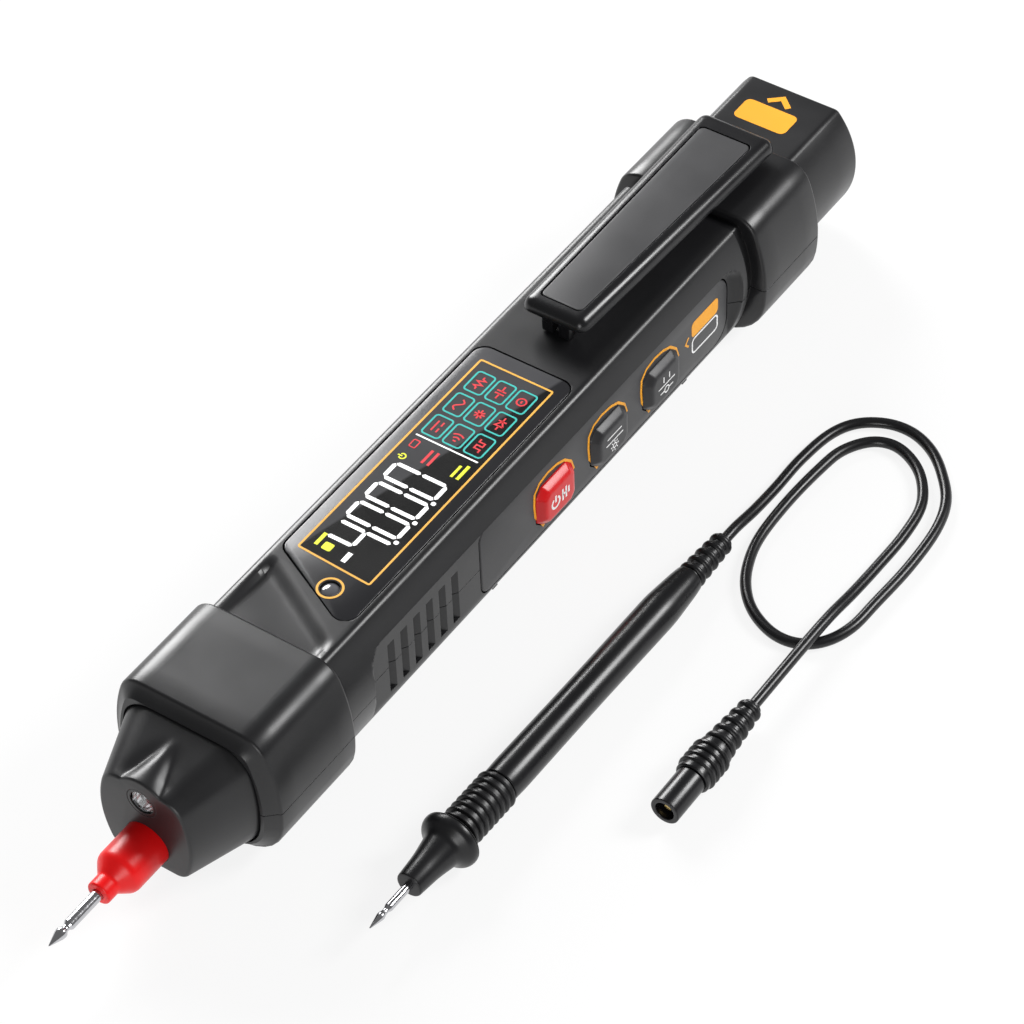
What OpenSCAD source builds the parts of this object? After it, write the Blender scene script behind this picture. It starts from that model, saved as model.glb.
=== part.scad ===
// Pen multimeter with its black test lead lying beside it.
// X runs along the pen, needle end at -X and lead socket at +X.  Y runs across it,
// buttons on the -Y side.  Z is up, and the pen lies with its flat back on z = 0.
// x = 0 is the middle of the display.  All lengths are in millimetres.

/* [Body section] */
// Half the width of the body at its widest
body_half_w = 14.5; // [14.2:0.1:15.2]
// Height of the body, flat back to flat top
body_h = 27; // [26.6:0.1:28]
// Height at which the sides bulge most
bulge_z = 15; // [14:0.1:16]
// Radius of the bulging sides
side_r = 23.3; // [22:0.1:26]
// Rounding of the two top edges
top_edge_r = 1.5; // [0.8:0.1:2.2]
// Rounding of the two bottom edges
bottom_edge_r = 4; // [3:0.1:5]
// Thickness of the moulded walls
wall = 1.8; // [1.6:0.1:2]

/* [Body length] */
// Display centre to the back edge of the front collar
collar_from_display = 43.5; // [43:0.5:48]
// Display centre to the front edge of the rear collar
tail_from_display = 80.5; // [80:0.5:86]
// Width of the dark groove ahead of the rear collar
ring_w = 2.6; // [1.6:0.1:3]
// Depth of that groove
ring_depth = 0.9; // [0.5:0.1:1.1]

/* [Collars] */
// Half the width of both collars
collar_half_w = 16.6; // [16.4:0.1:17.6]
// Height of both collars
collar_h = 28; // [28:0.1:29]
// Height at which the collar sides bulge most
collar_bulge_z = 13; // [12:0.1:14]
// Radius of the collar sides
collar_side_r = 34; // [32:0.5:40]
// Rounding of the collar top edges
collar_top_r = 5; // [4:0.1:6]
// Rounding of the collar bottom edges
collar_bottom_r = 10; // [8:0.1:10.5]
// Length of the front collar
collar_len = 20.2; // [19:0.1:24]
// Length of the rear collar
tail_len = 18.5; // [18:0.1:22]
// Softened edge all round both collars
collar_edge = 0.6; // [0.3:0.1:0.9]
// Length of the sloping front rim
rim_len = 1.6; // [1:0.1:2]
// Width of the sloping front rim
rim_w = 2.3; // [1.8:0.1:2.4]

/* [Socket block] */
// Length of the block behind the rear collar
block_len = 18.3; // [17:0.1:24]
// Half the width of the block
block_half_w = 13.6; // [13:0.1:14]
// Top of the block
block_top = 26.2; // [25:0.1:26.6]
// Underside of the block
block_bottom = 3; // [2:0.1:4]
// Radius of the block sides
block_side_r = 16.5; // [15.5:0.1:18]

/* [Nose] */
// Length of the nose that shows ahead of the rim
nose_len = 12; // [11:0.1:14]
// Half the width of the nose where it leaves the rim
nose_base_half_w = 13.3; // [12.8:0.1:13.5]
// Half the width of its front face
nose_tip_half_w = 9; // [8.6:0.1:9.6]
// Top of the front face
nose_tip_top = 22.3; // [22:0.1:23]
// Underside of the front face
nose_tip_bottom = 4.4; // [4:0.1:4.8]
// Depth that the nose goes into the collar
nose_seat = 8; // [7:0.1:10]

/* [Needle and sleeve] */
// Height of the needle above the surface
needle_z = 9.3; // [9.1:0.1:9.6]
// Diameter of the needle
needle_d = 2; // [1.6:0.1:2.2]
// Needle tip to the front face of the nose
needle_reach = 24.7; // [22:0.1:28]
// Diameter of the red sleeve
sleeve_d = 8.4; // [7.8:0.1:8.5]
// Length of the fat part that shows
sleeve_body_len = 7.4; // [6:0.1:8]
// Length of its cone
sleeve_cone_len = 2.7; // [2:0.1:3.2]
// Diameter of its small end
sleeve_tip_d = 4.4; // [4:0.1:5]
// Length of its small end
sleeve_tip_len = 2.4; // [1.6:0.1:3]
// Length of the sleeve that still is in the nose when it is drawn forward
sleeve_hold = 4.5; // [4:0.1:5.5]
// Travel of the sleeve when it is drawn forward over the needle
sleeve_travel = 12; // [8:0.5:12]

/* [Torch] */
// Height of the torch above the surface
torch_z = 18.9; // [18.7:0.1:19.2]
// Diameter of the torch hole
torch_d = 5.6; // [5:0.1:5.8]
// Depth of the reflector
torch_depth = 5.5; // [5:0.1:6.5]
// Radius of the hump that covers the torch
hump_r = 4.9; // [4.6:0.1:5]

/* [Display] */
// Display centre to the back edge of the window panel
panel_back = 30.3; // [30:0.1:31]
// Display centre to the front left corner of the panel
panel_front_left = 26.6; // [26.4:0.1:27.4]
// Display centre to the front right corner of the panel
panel_front_right = 36.3; // [35.5:0.1:36.4]
// Half the width of the panel
panel_half_w = 9.8; // [9.6:0.1:9.9]
// Thickness of the panel
panel_t = 1.3; // [1.1:0.1:1.4]
// Rounding of the panel corners
panel_r = 2.4; // [2:0.1:3]
// Length of the lit screen
screen_len = 52; // [48:0.5:52]
// Width of the lit screen
screen_w = 14.8; // [13:0.1:15]
// Thickness of the screen module
screen_t = 2.8; // [2:0.1:3.2]
// Diameter of the light pipe in the panel
pipe_d = 3.2; // [2.6:0.1:3.4]

/* [Scoop] */
// Depth of the scoop ahead of the panel
scoop_depth = 1.3; // [0.8:0.1:1.4]
// Radius of the scooped surface
scoop_r = 38; // [34:0.5:42]

/* [Side pad] */
// Distance of the flat side pads from the middle
pad_y = 12.5; // [12.4:0.1:12.7]
// Height of the lower edge of the pads
pad_bottom = 5; // [4.9:0.1:5.2]
// Height of the upper edge of the pads
pad_top = 21.9; // [21.7:0.1:22.3]
// Display centre to the front edge of the pads
pad_front = 34; // [33.5:0.1:34.5]
// Display centre to the back edge of the pads
pad_back = 74.6; // [74.5:0.1:75]
// Length of the ramp at each end
pad_ramp = 2.6; // [1.5:0.1:2.8]

/* [Grip slots] */
// Number of slots on each side
slot_count = 6; // [3:1:6]
// Distance from one slot to the next
slot_pitch = 3.6; // [3.4:0.1:3.7]
// Display centre to the middle of the first slot
slot_first = 28; // [27:0.1:28.4]
// Length of a slot up the side
slot_h = 11.3; // [9:0.1:12]
// Width of a slot
slot_w = 1.9; // [1.4:0.1:2.2]
// Depth of a slot
slot_depth = 0.9; // [0.6:0.1:1]

/* [Button panel] */
// Display centre to the front end of the button panel
keys_front = 2.7; // [2.4:0.1:3]
// Display centre to its back end
keys_back = 74.1; // [73.4:0.1:74.2]
// Lower edge of the panel
keys_bottom = 6; // [5.9:0.1:6.2]
// Upper edge of the panel
keys_top = 21.2; // [20.8:0.1:21.3]
// Thickness of the panel
keys_t = 1.2; // [1.1:0.1:1.3]
// How far the panel stands proud of the pad
keys_proud = 0.1; // [0:0.05:0.2]
// Rounding of the panel corners
keys_r = 2.2; // [1.8:0.1:2.6]

/* [Buttons] */
// Display centre to the middle of the red button
key_first = 19; // [18.6:0.1:19.4]
// Distance from one button to the next
key_pitch = 16.5; // [16.2:0.1:16.8]
// Height of the buttons above the surface
key_z = 12.4; // [12.3:0.1:12.6]
// Length of a button
key_len = 11.4; // [11:0.1:12]
// Height of a button
key_h = 9.6; // [9:0.1:9.8]
// How far a button stands proud of its panel
key_proud = 1.5; // [1.2:0.1:1.8]
// Cut corners of a button
key_cut = 2.3; // [1.8:0.1:2.6]
// Slope of a button's sides
key_slope = 1.1; // [0.7:0.1:1.3]
// Travel of a button
key_travel = 0.8; // [0.5:0.1:0.9]

/* [Pocket clip] */
// Back end of the clip from the display centre
clip_back = 98; // [97.6:0.1:98.2]
// Length of the clip
clip_len = 60.3; // [54:0.1:62]
// Half the width of its free end
clip_front_half_w = 6.5; // [6:0.1:7]
// Half the width at its root
clip_back_half_w = 7.9; // [7.4:0.1:8.2]
// Height of its underside above the collar at the root
clip_z = 2; // [1.8:0.1:2.4]
// Thickness of the clip
clip_t = 2.4; // [2.2:0.1:2.8]
// Sloping edge all round its top
clip_bevel = 2.1; // [1.6:0.1:2.3]
// Rounding of its corners
clip_r = 2; // [1.6:0.1:2.4]
// Rise of the clip towards its free end, in degrees
clip_rise = 1.1; // [0.8:0.1:1.3]
// Opening angle of the clip, in degrees
clip_open = 5; // [3:1:6]

/* [Batteries] */
// Diameter of an AAA cell
cell_d = 10.5; // [10.2:0.1:10.5]
// Length of an AAA cell
cell_len = 44.5; // [44:0.1:44.5]
// Room for a spring at each end of the cells
cell_room = 6.75; // [6.5:0.05:7]
// Front end of the battery door from the display centre
door_front = 5; // [4.8:0.1:5.4]
// Length of the battery door
door_len = 58; // [57:0.1:59]
// Height that the door wraps up the sides
door_wrap = 4.8; // [4.4:0.1:4.8]
// Thickness of the door
door_t = 1.5; // [1.3:0.1:1.6]
// Depth by which the door lies inside the flat back
door_inset = 0.3; // [0.2:0.05:0.4]

/* [Lead] */
// Diameter of the lead's cord
cord_d = 2; // [2:0.1:2]
// Diameter of the probe handle
handle_d = 6.8; // [6.4:0.1:7]
// Diameter of the finger guard
guard_d = 10.8; // [10:0.1:11.4]
// Diameter of the plug's shroud
shroud_d = 5.3; // [5:0.1:5.5]
// Length of the shroud ahead of the plug body
shroud_len = 8; // [7:0.1:9]
// Diameter of the plug's pin
plug_pin_d = 1.9; // [1.7:0.05:1.95]
// Diameter of the plug body's swell
plug_swell_d = 7.2; // [7:0.1:7.6]

/* [Fits] */
// Gap round pieces that are laid into a pocket
inlay_gap = 0.25; // [0.15:0.05:0.3]
// Gap round a moving button
key_gap = 0.2; // [0.15:0.05:0.3]
// Radial gap of a sliding fit
slide_gap = 0.06; // [0.03:0.01:0.09]
// Gap between the two shells
seam_gap = 0.15; // [0.1:0.05:0.2]
// Gap between plain pieces that are fitted together
seat_gap = 0.1; // [0.05:0.05:0.15]
// Gap beside the tongues of the door and above the ribs of the clip
loose_gap = 0.35; // [0.3:0.05:0.4]

/* [Hidden] */

// Facets of round pieces
$fn = 48;
// Steps in a rounded corner and in a bulging side
corner_steps = 6;
side_steps = 10;
// Overrun of every cut
over = 1;
// Thickness of the slices that lofted pieces are drawn from
slice = 0.02;

// Places along the pen
collar_x1 = -collar_from_display;
collar_x0 = collar_x1 - collar_len;
rim_x = collar_x0 - rim_len;
face_x = rim_x - nose_len;
tail_x0 = tail_from_display;
tail_x1 = tail_x0 + tail_len;
block_x1 = tail_x1 + block_len;
seam_z = 12.8;
roof_z = body_h - wall;

// Outlines across the pen: half width, underside, top, bulge height, side radius, edge radii
body_sec = [body_half_w, 0, body_h, bulge_z, side_r, top_edge_r, bottom_edge_r];
collar_sec = [collar_half_w, 0, collar_h, collar_bulge_z, collar_side_r, collar_top_r,
    collar_bottom_r];
block_edge_r = 1.6;
block_sec = [block_half_w, block_bottom, block_top, bulge_z, block_side_r, block_edge_r,
    block_edge_r + wall];
nose_base_bottom = 2.2;
nose_base_top = 25.3;
nose_mid = (nose_base_bottom + nose_base_top) / 2;
nose_side_r = 30;
nose_top_r = 6;
nose_bottom_r = 8;
nose_base_sec = [nose_base_half_w, nose_base_bottom, nose_base_top, nose_mid, nose_side_r,
    nose_top_r, nose_bottom_r];
nose_tip_mid = 13.2;
nose_tip_side_r = 20;
nose_tip_r = 4.2;
nose_tip_sec = [nose_tip_half_w, nose_tip_bottom, nose_tip_top, nose_tip_mid,
    nose_tip_side_r, nose_tip_r, nose_tip_r];

// Points on an arc about centre c
function arc(c, r, a0, a1, n) = [for (i = [0 : n]) c + r * [cos(a0 + (a1 - a0) * i / n),
    sin(a0 + (a1 - a0) * i / n)]];
// Right half of an outline, from the top round to the underside, grown by g
function half_outline(s, g = 0) =
    let (w = s[0] + g, zb = s[1] - g, zt = s[2] + g, zc = s[3], rs = s[4] + g,
        rt = s[5] + max(g, -s[5] / 2), rb = s[6] + g, y0 = w - rs,
        yt = y0 + sqrt(pow(rs - rt, 2) - pow(zt - rt - zc, 2)),
        yb = y0 + sqrt(pow(rs - rb, 2) - pow(zb + rb - zc, 2)),
        at = atan2(zt - rt - zc, yt - y0), ab = atan2(zb + rb - zc, yb - y0),
        side = arc([y0, zc], rs, at, ab, side_steps))
    concat(arc([yt, zt - rt], rt, 90, at, corner_steps),
        [for (i = [1 : side_steps - 1]) side[i]],
        arc([yb, zb + rb], rb, ab, -90, corner_steps));
function outline(s, g = 0) =
    let (h = half_outline(s, g), n = len(h))
    concat(h, [for (i = [0 : n - 1]) [-h[n - 1 - i][0], h[n - 1 - i][1]]]);

// A plan outline with each corner rounded by its own radius
function unit2(v) = v / norm(v);
function turn(a) = a > 180 ? a - 360 : a < -180 ? a + 360 : a;
function round_corner(a, p, b, r, n) =
    let (u = unit2(a - p), v = unit2(b - p), k = acos(u * v) / 2, t = r / tan(k),
        c = p + unit2(u + v) * r / sin(k), q0 = p + u * t - c, q1 = p + v * t - c,
        a0 = atan2(q0[1], q0[0]), sweep = turn(atan2(q1[1], q1[0]) - a0))
    arc(c, r, a0, a0 + sweep, n);
function rounded(pts, r) =
    let (n = len(pts))
    [for (i = [0 : n - 1]) each round_corner(pts[(i + n - 1) % n], pts[i], pts[(i + 1) % n],
        is_list(r) ? r[i] : r, corner_steps)];
function rect(x0, y0, x1, y1) = [[x0, y0], [x1, y0], [x1, y1], [x0, y1]];

// Extrudes a Y-Z outline along X, or an X-Z outline towards -Y
module along_x(x0, x1) translate([x0, 0, 0]) rotate([90, 0, 90]) linear_extrude(x1 - x0) children();
module towards_minus_y(y0, y1)
    translate([0, y0, 0]) rotate([90, 0, 0]) linear_extrude(y0 - y1) children();
module prism(s, x0, x1, g = 0) along_x(x0, x1) polygon(outline(s, g));
module block(p0, p1) translate(p0) cube(p1 - p0);
module rod(x0, x1, d, y, z) translate([x0, y, z]) rotate([0, 90, 0]) cylinder(h = x1 - x0, d = d);
module post(z0, z1, d, x, y) translate([x, y, z0]) cylinder(h = z1 - z0, d = d);
module turned_x(x, y, z, pts) translate([x, y, z]) rotate([0, 90, 0]) rotate_extrude() polygon(pts);

// A tube through points: sides on each ring, a flat ring at each end
function unit3(v) = v / norm(v);
function tangent(p, i) = unit3(p[min(i + 1, len(p) - 1)] - p[max(i - 1, 0)]);
function across(t) = unit3(cross(t, abs(t[2]) > 0.9 ? [1, 0, 0] : [0, 0, 1]));
module tube(p, r, sides) {
    n = len(p);
    rings = [for (i = [0 : n - 1]) let (t = tangent(p, i), a = across(t), b = cross(a, t))
        for (k = [0 : sides - 1]) p[i] + r * (a * cos(360 * k / sides) + b * sin(360 * k / sides))];
    walls = [for (i = [0 : n - 2]) for (k = [0 : sides - 1])
        let (m = (k + 1) % sides, a = i * sides + k, b = i * sides + m)
        each [[a, b, b + sides], [a, b + sides, a + sides]]];
    caps = [for (k = [1 : sides - 2]) each [[0, k + 1, k], [(n - 1) * sides,
        (n - 1) * sides + k, (n - 1) * sides + k + 1]]];
    polyhedron(points = rings, faces = concat(walls, caps));
}
// Curve through a list of points, with steps between each pair
function spline_at(a, b, c, d, t) = b + t * (c - a) / 2
    + t * t * (2 * a - 5 * b + 4 * c - d) / 2 + t * t * t * (3 * b - a - 3 * c + d) / 2;
function spline(p, steps) = let (n = len(p)) concat(
    [for (i = [0 : n - 2]) for (k = [0 : steps - 1]) spline_at(p[max(i - 1, 0)], p[i], p[i + 1],
        p[min(i + 2, n - 1)], k / steps)], [p[n - 1]]);

// Battery compartment
cell_r = cell_d / 2;
cell_shift = 0.6;
cell_y = [cell_shift - cell_r - seat_gap, cell_shift + cell_r + seat_gap];
cell_clear = 0.4;
cell_play = 0.15;
cell_z = door_inset + door_t + cell_clear + cell_r;
cell_x0 = door_front + cell_room;
cell_x1 = cell_x0 + cell_len;
cell_nub_d = 3.8;
cell_nub_len = 0.9;
cell_can_len = cell_len - cell_nub_len;
bulkhead_t = 1.4;
bay_x0 = door_front - bulkhead_t;
bay_x1 = cell_x1 + cell_room;
plate_t = 0.4;
plate_w = 6;
plate_drop = 3;

// Main board and what stands on it
board_t = 1.2;
board_gap = 1.3;
board_z = cell_z + cell_r + board_gap;
board_top = board_z + board_t;
board_half_w = 9.3;
board_front_reach = 5.5;
board_back_reach = 13;
board_post_inset = 12;
board_x0 = collar_x1 - board_front_reach;
board_x1 = bay_x1 + bulkhead_t + board_back_reach;
screen_z0 = roof_z - seat_gap - screen_t;
screen_rim = 1;
frame_wall = 1.4;
frame_rim = 2;
frame_leg = 3;
pipe_pos = [-30, -2.5];
chip_t = 1.1;

// Walls round the pads and the battery bay
ledge_t = 0.9;
slot_wall = 1;
pad_cavity_y = pad_y - keys_t - ledge_t;
grip_cavity_y = pad_y - slot_depth - slot_wall;
grip_cavity_x1 = -keys_front - inlay_gap;
tail_roof_z = 21.5;
ledge = 1.2;
panel_floor = body_h - panel_t - seat_gap;

// Screws that hold the shells: places, head, shaft and pillar
screw_front_inset = 6;
screw_back_inset = 8;
screw_xs = [collar_x1 - screw_front_inset, tail_x0 + screw_back_inset];
screw_y = 8;
screw_d = 2;
screw_head_d = 3.8;
screw_head_t = 1.4;
screw_sink = 1;
pillar_d = 5;
screw_bite = 6;
screw_reach = seam_z + screw_bite;

module screw_places() for (x = screw_xs) for (y = [-screw_y, screw_y]) translate([x, y, 0]) children();

// Outer skin of both shells together
module collar_skin(x0, x1) hull() {
    prism(collar_sec, x0 + collar_edge, x1 - collar_edge);
    prism(collar_sec, x0, x1, -collar_edge);
}
module pen_skin() {
    difference() {
        prism(body_sec, collar_x1 - over, tail_x0 + over);
        difference() {
            block([tail_x0 - ring_w, -2 * body_half_w, -body_h], [tail_x0, 2 * body_half_w, 2 * body_h]);
            prism(body_sec, tail_x0 - ring_w - over, tail_x0 + over, -ring_depth);
            block([tail_x0 - ring_w - over, -body_half_w, -over], [tail_x0 + over, body_half_w, ring_depth]);
        }
    }
    collar_skin(collar_x0, collar_x1);
    hull() {
        prism(collar_sec, collar_x0, collar_x0 + collar_edge, -collar_edge);
        prism(collar_sec, rim_x, rim_x + slice, -rim_w);
    }
    collar_skin(tail_x0, tail_x1);
}
// Flat pad with a ramp at each end, cut into one side; side is 1 or -1
module pad_cut(side) {
    far = 2 * body_half_w;
    ramp_y = body_half_w + pad_ramp / 4;
    pts = [[-pad_front, pad_y], [pad_back, pad_y], [pad_back + pad_ramp, ramp_y],
        [pad_back + pad_ramp, far], [-pad_front - pad_ramp / 2, far],
        [-pad_front - pad_ramp / 2, ramp_y]];
    translate([0, 0, pad_bottom]) linear_extrude(pad_top - pad_bottom)
        polygon([for (p = pts) [p[0], side * p[1]]]);
}
// Slots with a steep front wall and a sloping back wall
module slot_cuts(side) {
    for (i = [0 : slot_count - 1]) {
        x = -slot_first + i * slot_pitch;
        pts = [[x - slot_w / 2, pad_y + over], [x - slot_w / 2, pad_y - slot_depth],
            [x - slot_w / 6, pad_y - slot_depth], [x + slot_w / 2, pad_y],
            [x + slot_w / 2, pad_y + over]];
        translate([0, 0, key_z - slot_h / 2 + seat_gap]) linear_extrude(slot_h)
            polygon([for (p = pts) [p[0], side * p[1]]]);
    }
}
// Plan of the display panel, grown by g
function panel_plan(g) = rounded([[panel_back + g, -panel_half_w - g],
    [panel_back + g, panel_half_w + g], [-panel_front_left - g, panel_half_w + g],
    [-panel_front_right - g, -panel_half_w - g]], panel_r + g);
// Outline of the button panel, grown by g
keys_tail_r = 4.5;
function keys_plan(g) = rounded(rect(-keys_front - g, keys_bottom - g, keys_back + g, keys_top + g),
    [keys_r + g, keys_tail_r + g, keys_tail_r + g, keys_r + g]);
// Outline of a button about its middle, grown by g
function key_plan(g) =
    let (a = key_len / 2 + g, b = key_h / 2 + g, c = key_cut + g / 2)
    [[-a, -b + c], [-a + c, -b], [a - c, -b], [a, -b + c], [a, b - c], [a - c, b], [-a + c, b],
        [-a, b - c]];
key_xs = [for (i = [0 : 2]) key_first + i * key_pitch];

// Scooped hollow in the top between the collar and the display panel
scoop_rim = 1.7;
module scoop_cut() {
    lip = 0.8;
    intersection() {
        translate([collar_x1 + lip, 0, body_h - scoop_depth + scoop_r]) rotate([90, 0, 0])
            cylinder(h = 2 * body_half_w, r = scoop_r, center = true, $fn = 96);
        translate([0, 0, body_h - 2 * scoop_depth]) linear_extrude(2 * collar_h)
            polygon(rounded([[collar_x1 - lip, -panel_half_w], [-panel_front_right - scoop_rim,
                -panel_half_w], [-panel_front_left - scoop_rim, panel_half_w],
                [collar_x1 - lip, panel_half_w]], lip));
    }
}

// Room for the two cells, cut into the walls beside them
module cell_cradles() {
    for (y = cell_y) rod(door_front, bay_x1, cell_d + 2 * cell_play, y, cell_z);
}
// Room for the screen under the roof
module screen_pocket() {
    x = screen_len / 2 + screen_rim + seat_gap;
    y = screen_w / 2 + screen_rim + seat_gap;
    block([-x, -y, screen_z0], [x, y, roof_z]);
}
// Room inside both shells, lower under the scoop
scoop_roof_z = body_h - scoop_depth - panel_t;
module cavity() {
    grip_x0 = -pad_front - pad_ramp;
    intersection() {
        prism(body_sec, collar_x1 - over, tail_x0 + over, -wall);
        union() {
            block([collar_x1 - over, -body_half_w, 0], [grip_x0, body_half_w, scoop_roof_z]);
            block([grip_x0 - over, -grip_cavity_y, 0], [grip_cavity_x1, grip_cavity_y, scoop_roof_z]);
            block([-panel_front_left - screen_rim, -grip_cavity_y, 0],
                [grip_cavity_x1, grip_cavity_y, body_h]);
            block([grip_cavity_x1 - over, -pad_cavity_y, 0], [tail_x0 + over, pad_cavity_y, body_h]);
        }
    }
    cell_cradles();
    screen_pocket();
    prism(body_sec, collar_x0 + nose_seat, collar_x1, -wall);
    intersection() {
        prism(body_sec, tail_x0, tail_x1 - wall, -wall);
        block([tail_x0 - over, -body_half_w, 0], [tail_x1, body_half_w, tail_roof_z]);
    }
}
module nose_opening() {
    prism(nose_base_sec, rim_x - over, rim_x + rim_len, inlay_gap + seat_gap);
    prism(nose_base_sec, rim_x, collar_x0 + nose_seat + over, seat_gap);
}
block_root = 3.4;
module block_opening() prism(block_sec, tail_x1 - block_root - over, tail_x1 + over, seat_gap);

// Foot of the clip, and the pocket in the rear collar that it goes into
clip_foot_back = 5;
clip_foot_len = 5.5;
clip_foot_half_w = 4.6;
clip_foot_floor = 3.3;
clip_foot_x = clip_back - clip_foot_back;
clip_foot_z = tail_roof_z + clip_foot_floor;
// Gap that lets the foot turn by the opening angle
clip_foot_gap = norm([clip_foot_len / 2, collar_h - clip_foot_z]) * sin(clip_open);
module clip_pocket() block([clip_foot_x - clip_foot_len - clip_foot_gap, -clip_foot_half_w - clip_foot_gap,
    clip_foot_z - clip_foot_gap], [clip_foot_x + clip_foot_gap, clip_foot_half_w + clip_foot_gap,
    collar_h + over]);

module upper_shell() color("#2b2b2d") {
    difference() {
        intersection() {
            pen_skin();
            block([rim_x - over, -collar_h, seam_z + seam_gap],
                [tail_x1 + over, collar_h, 2 * collar_h]);
        }
        cavity();
        nose_opening();
        block_opening();
        pad_cut(1);
        pad_cut(-1);
        slot_cuts(1);
        slot_cuts(-1);
        scoop_cut();
        translate([0, 0, panel_floor]) linear_extrude(body_h) polygon(panel_plan(inlay_gap));
        block([-screen_len / 2, -screen_w / 2, roof_z - over],
            [screen_len / 2, screen_w / 2, body_h]);
        post(scoop_roof_z - over, body_h, pipe_d + 2 * seat_gap, pipe_pos[0], pipe_pos[1]);
        keys_window();
        clip_pocket();
    }
    // Pillars that take the shell screws
    intersection() {
        difference() {
            screw_places() post(seam_z + seam_gap, collar_h, pillar_d, 0, 0);
            screw_places() post(0, screw_reach + seat_gap, screw_d + 2 * seat_gap, 0, 0);
        }
        prism(body_sec, collar_x0, tail_x1, -wall / 2);
    }
}
// Opening behind the button panel, with a ledge that carries the panel
module keys_window() {
    towards_minus_y(-pad_y + keys_t - keys_proud, -2 * pad_y) polygon(keys_plan(inlay_gap));
    towards_minus_y(-pad_cavity_y + over, -2 * pad_y) polygon(keys_plan(-ledge));
}
module lower_shell() color("#262628") {
    difference() {
        union() {
            difference() {
                intersection() {
                    pen_skin();
                    block([rim_x - over, -collar_h, -over], [tail_x1 + over, collar_h, seam_z]);
                }
                cavity();
            }
            // Bulkheads at both ends of the battery bay, which also carry the board
            intersection() {
                for (x = [bay_x0, bay_x1])
                    block([x, -body_half_w, wall / 2], [x + bulkhead_t, body_half_w, board_z]);
                prism(body_sec, collar_x0, tail_x1, -wall / 2);
                union() {
                    block([collar_x0, -pad_y + slot_depth, 0], [tail_x1, pad_y - slot_depth, seam_z]);
                    block([collar_x0, -pad_cavity_y + seat_gap, 0],
                        [tail_x1, pad_cavity_y - seat_gap, body_h]);
                }
            }
            // Boss for the door screw, and a cradle for the needle socket
            difference() {
                block([min(door_screw_x - door_boss_w, bay_x1), cell_shift - door_boss_w, door_boss_z],
                    [max(door_screw_x + door_boss_w, bay_x1 + bulkhead_t / 2), cell_shift + door_boss_w,
                    cell_z + door_boss_w / 2]);
                cell_cradles();
            }
            block([needle_socket_x + needle_socket_d / 2, -needle_socket_d / 2, wall / 2],
                [needle_socket_x + needle_socket_len - needle_socket_d / 2, needle_socket_d / 2, needle_z]);
            // Post under the front of the board, and pillars for the screws
            post(wall / 2, board_z, pillar_d, board_x0 + board_post_inset, 0);
            screw_places() post(wall / 2, seam_z, pillar_d, 0, 0);
        }
        nose_opening();
        block_opening();
        pad_cut(1);
        pad_cut(-1);
        slot_cuts(1);
        slot_cuts(-1);
        keys_window();
        door_opening();
        screw_places() post(-over, 2 * seam_z, screw_d + 2 * seat_gap, 0, 0);
        screw_places() post(-over, screw_sink + screw_head_t, screw_head_d + 2 * seat_gap, 0, 0);
        post(0, 2 * cell_z, screw_d + 2 * door_screw_gap, door_screw_x, cell_shift);
        rod(needle_socket_x, needle_socket_x + needle_socket_len, needle_socket_d + 2 * seat_gap, 0,
            needle_z);
        // Slots that the door's tongues turn in
        for (y = tongue_ys) block([bay_x0 - over, y - tongue_w / 2 - loose_gap, wall],
            [door_front + over, y + tongue_w / 2 + loose_gap, door_inset + tongue_arc + loose_gap]);
    }
}

// Battery door: a trough that wraps the lower edges of the body and turns on its front edge
door_gap = 0.25;
door_swing_gap = 0.4;
door_screw_inset = 4;
door_end = door_front + door_len;
door_screw_x = door_end - door_screw_inset;
door_screw_gap = 0.4;
door_boss_w = 2.2;
door_boss_z = door_inset + door_t + door_swing_gap;
door_x1 = door_end - door_swing_gap;
module door_opening() block([door_front - door_gap, -body_half_w, -over],
    [door_end, body_half_w, door_wrap + door_gap]);
tongue_len = 2;
tongue_w = 2.5;
tongue_t = 1.2;
tongue_ys = [-5, 5];
tongue_z = wall + door_gap;
tongue_top = tongue_z + tongue_t;
tongue_arc = norm([tongue_len, tongue_top - door_inset]);
door_screw_seat = door_inset + screw_head_t / 2;
module battery_door() color("#262628") difference() {
    union() {
        difference() {
            intersection() {
                prism(body_sec, door_front, door_x1);
                block([door_front, -body_half_w, door_inset], [door_x1, body_half_w, door_wrap]);
            }
            intersection() {
                prism(body_sec, door_front - over, door_x1 + over, -door_t);
                block([door_front - over, -body_half_w, door_inset + door_t],
                    [door_x1 + over, body_half_w, body_h]);
            }
        }
        // Tongues that hook over the edge of the back
        for (y = tongue_ys) {
            block([door_front - tongue_len, y - tongue_w / 2, tongue_z],
                [door_front + tongue_len, y + tongue_w / 2, tongue_top]);
            block([door_front, y - tongue_w / 2, door_inset + door_t / 2],
                [door_front + tongue_len, y + tongue_w / 2, tongue_top]);
        }
    }
    cell_cradles();
    post(-over, body_h, screw_d + 2 * slide_gap, door_screw_x, cell_shift);
    post(-over, door_screw_seat, screw_head_d + 2 * seat_gap, door_screw_x, cell_shift);
}
door_screw_len = 3.2;
module door_screw() color("silver") {
    z = door_screw_seat - slide_gap;
    post(z - slice, z + door_screw_len, screw_d, door_screw_x, cell_shift);
    difference() {
        post(door_inset, z, screw_head_d, door_screw_x, cell_shift);
        screw_cross(door_screw_x, cell_shift, door_inset);
    }
}
cross_w = 0.5;
cross_depth = 0.4;
cross_share = 0.7;
module screw_cross(x, y, z) for (a = [0, 90]) translate([x, y, z]) rotate([0, 0, a])
    cube([screw_head_d * cross_share, cross_w, 2 * cross_depth], center = true);
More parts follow.
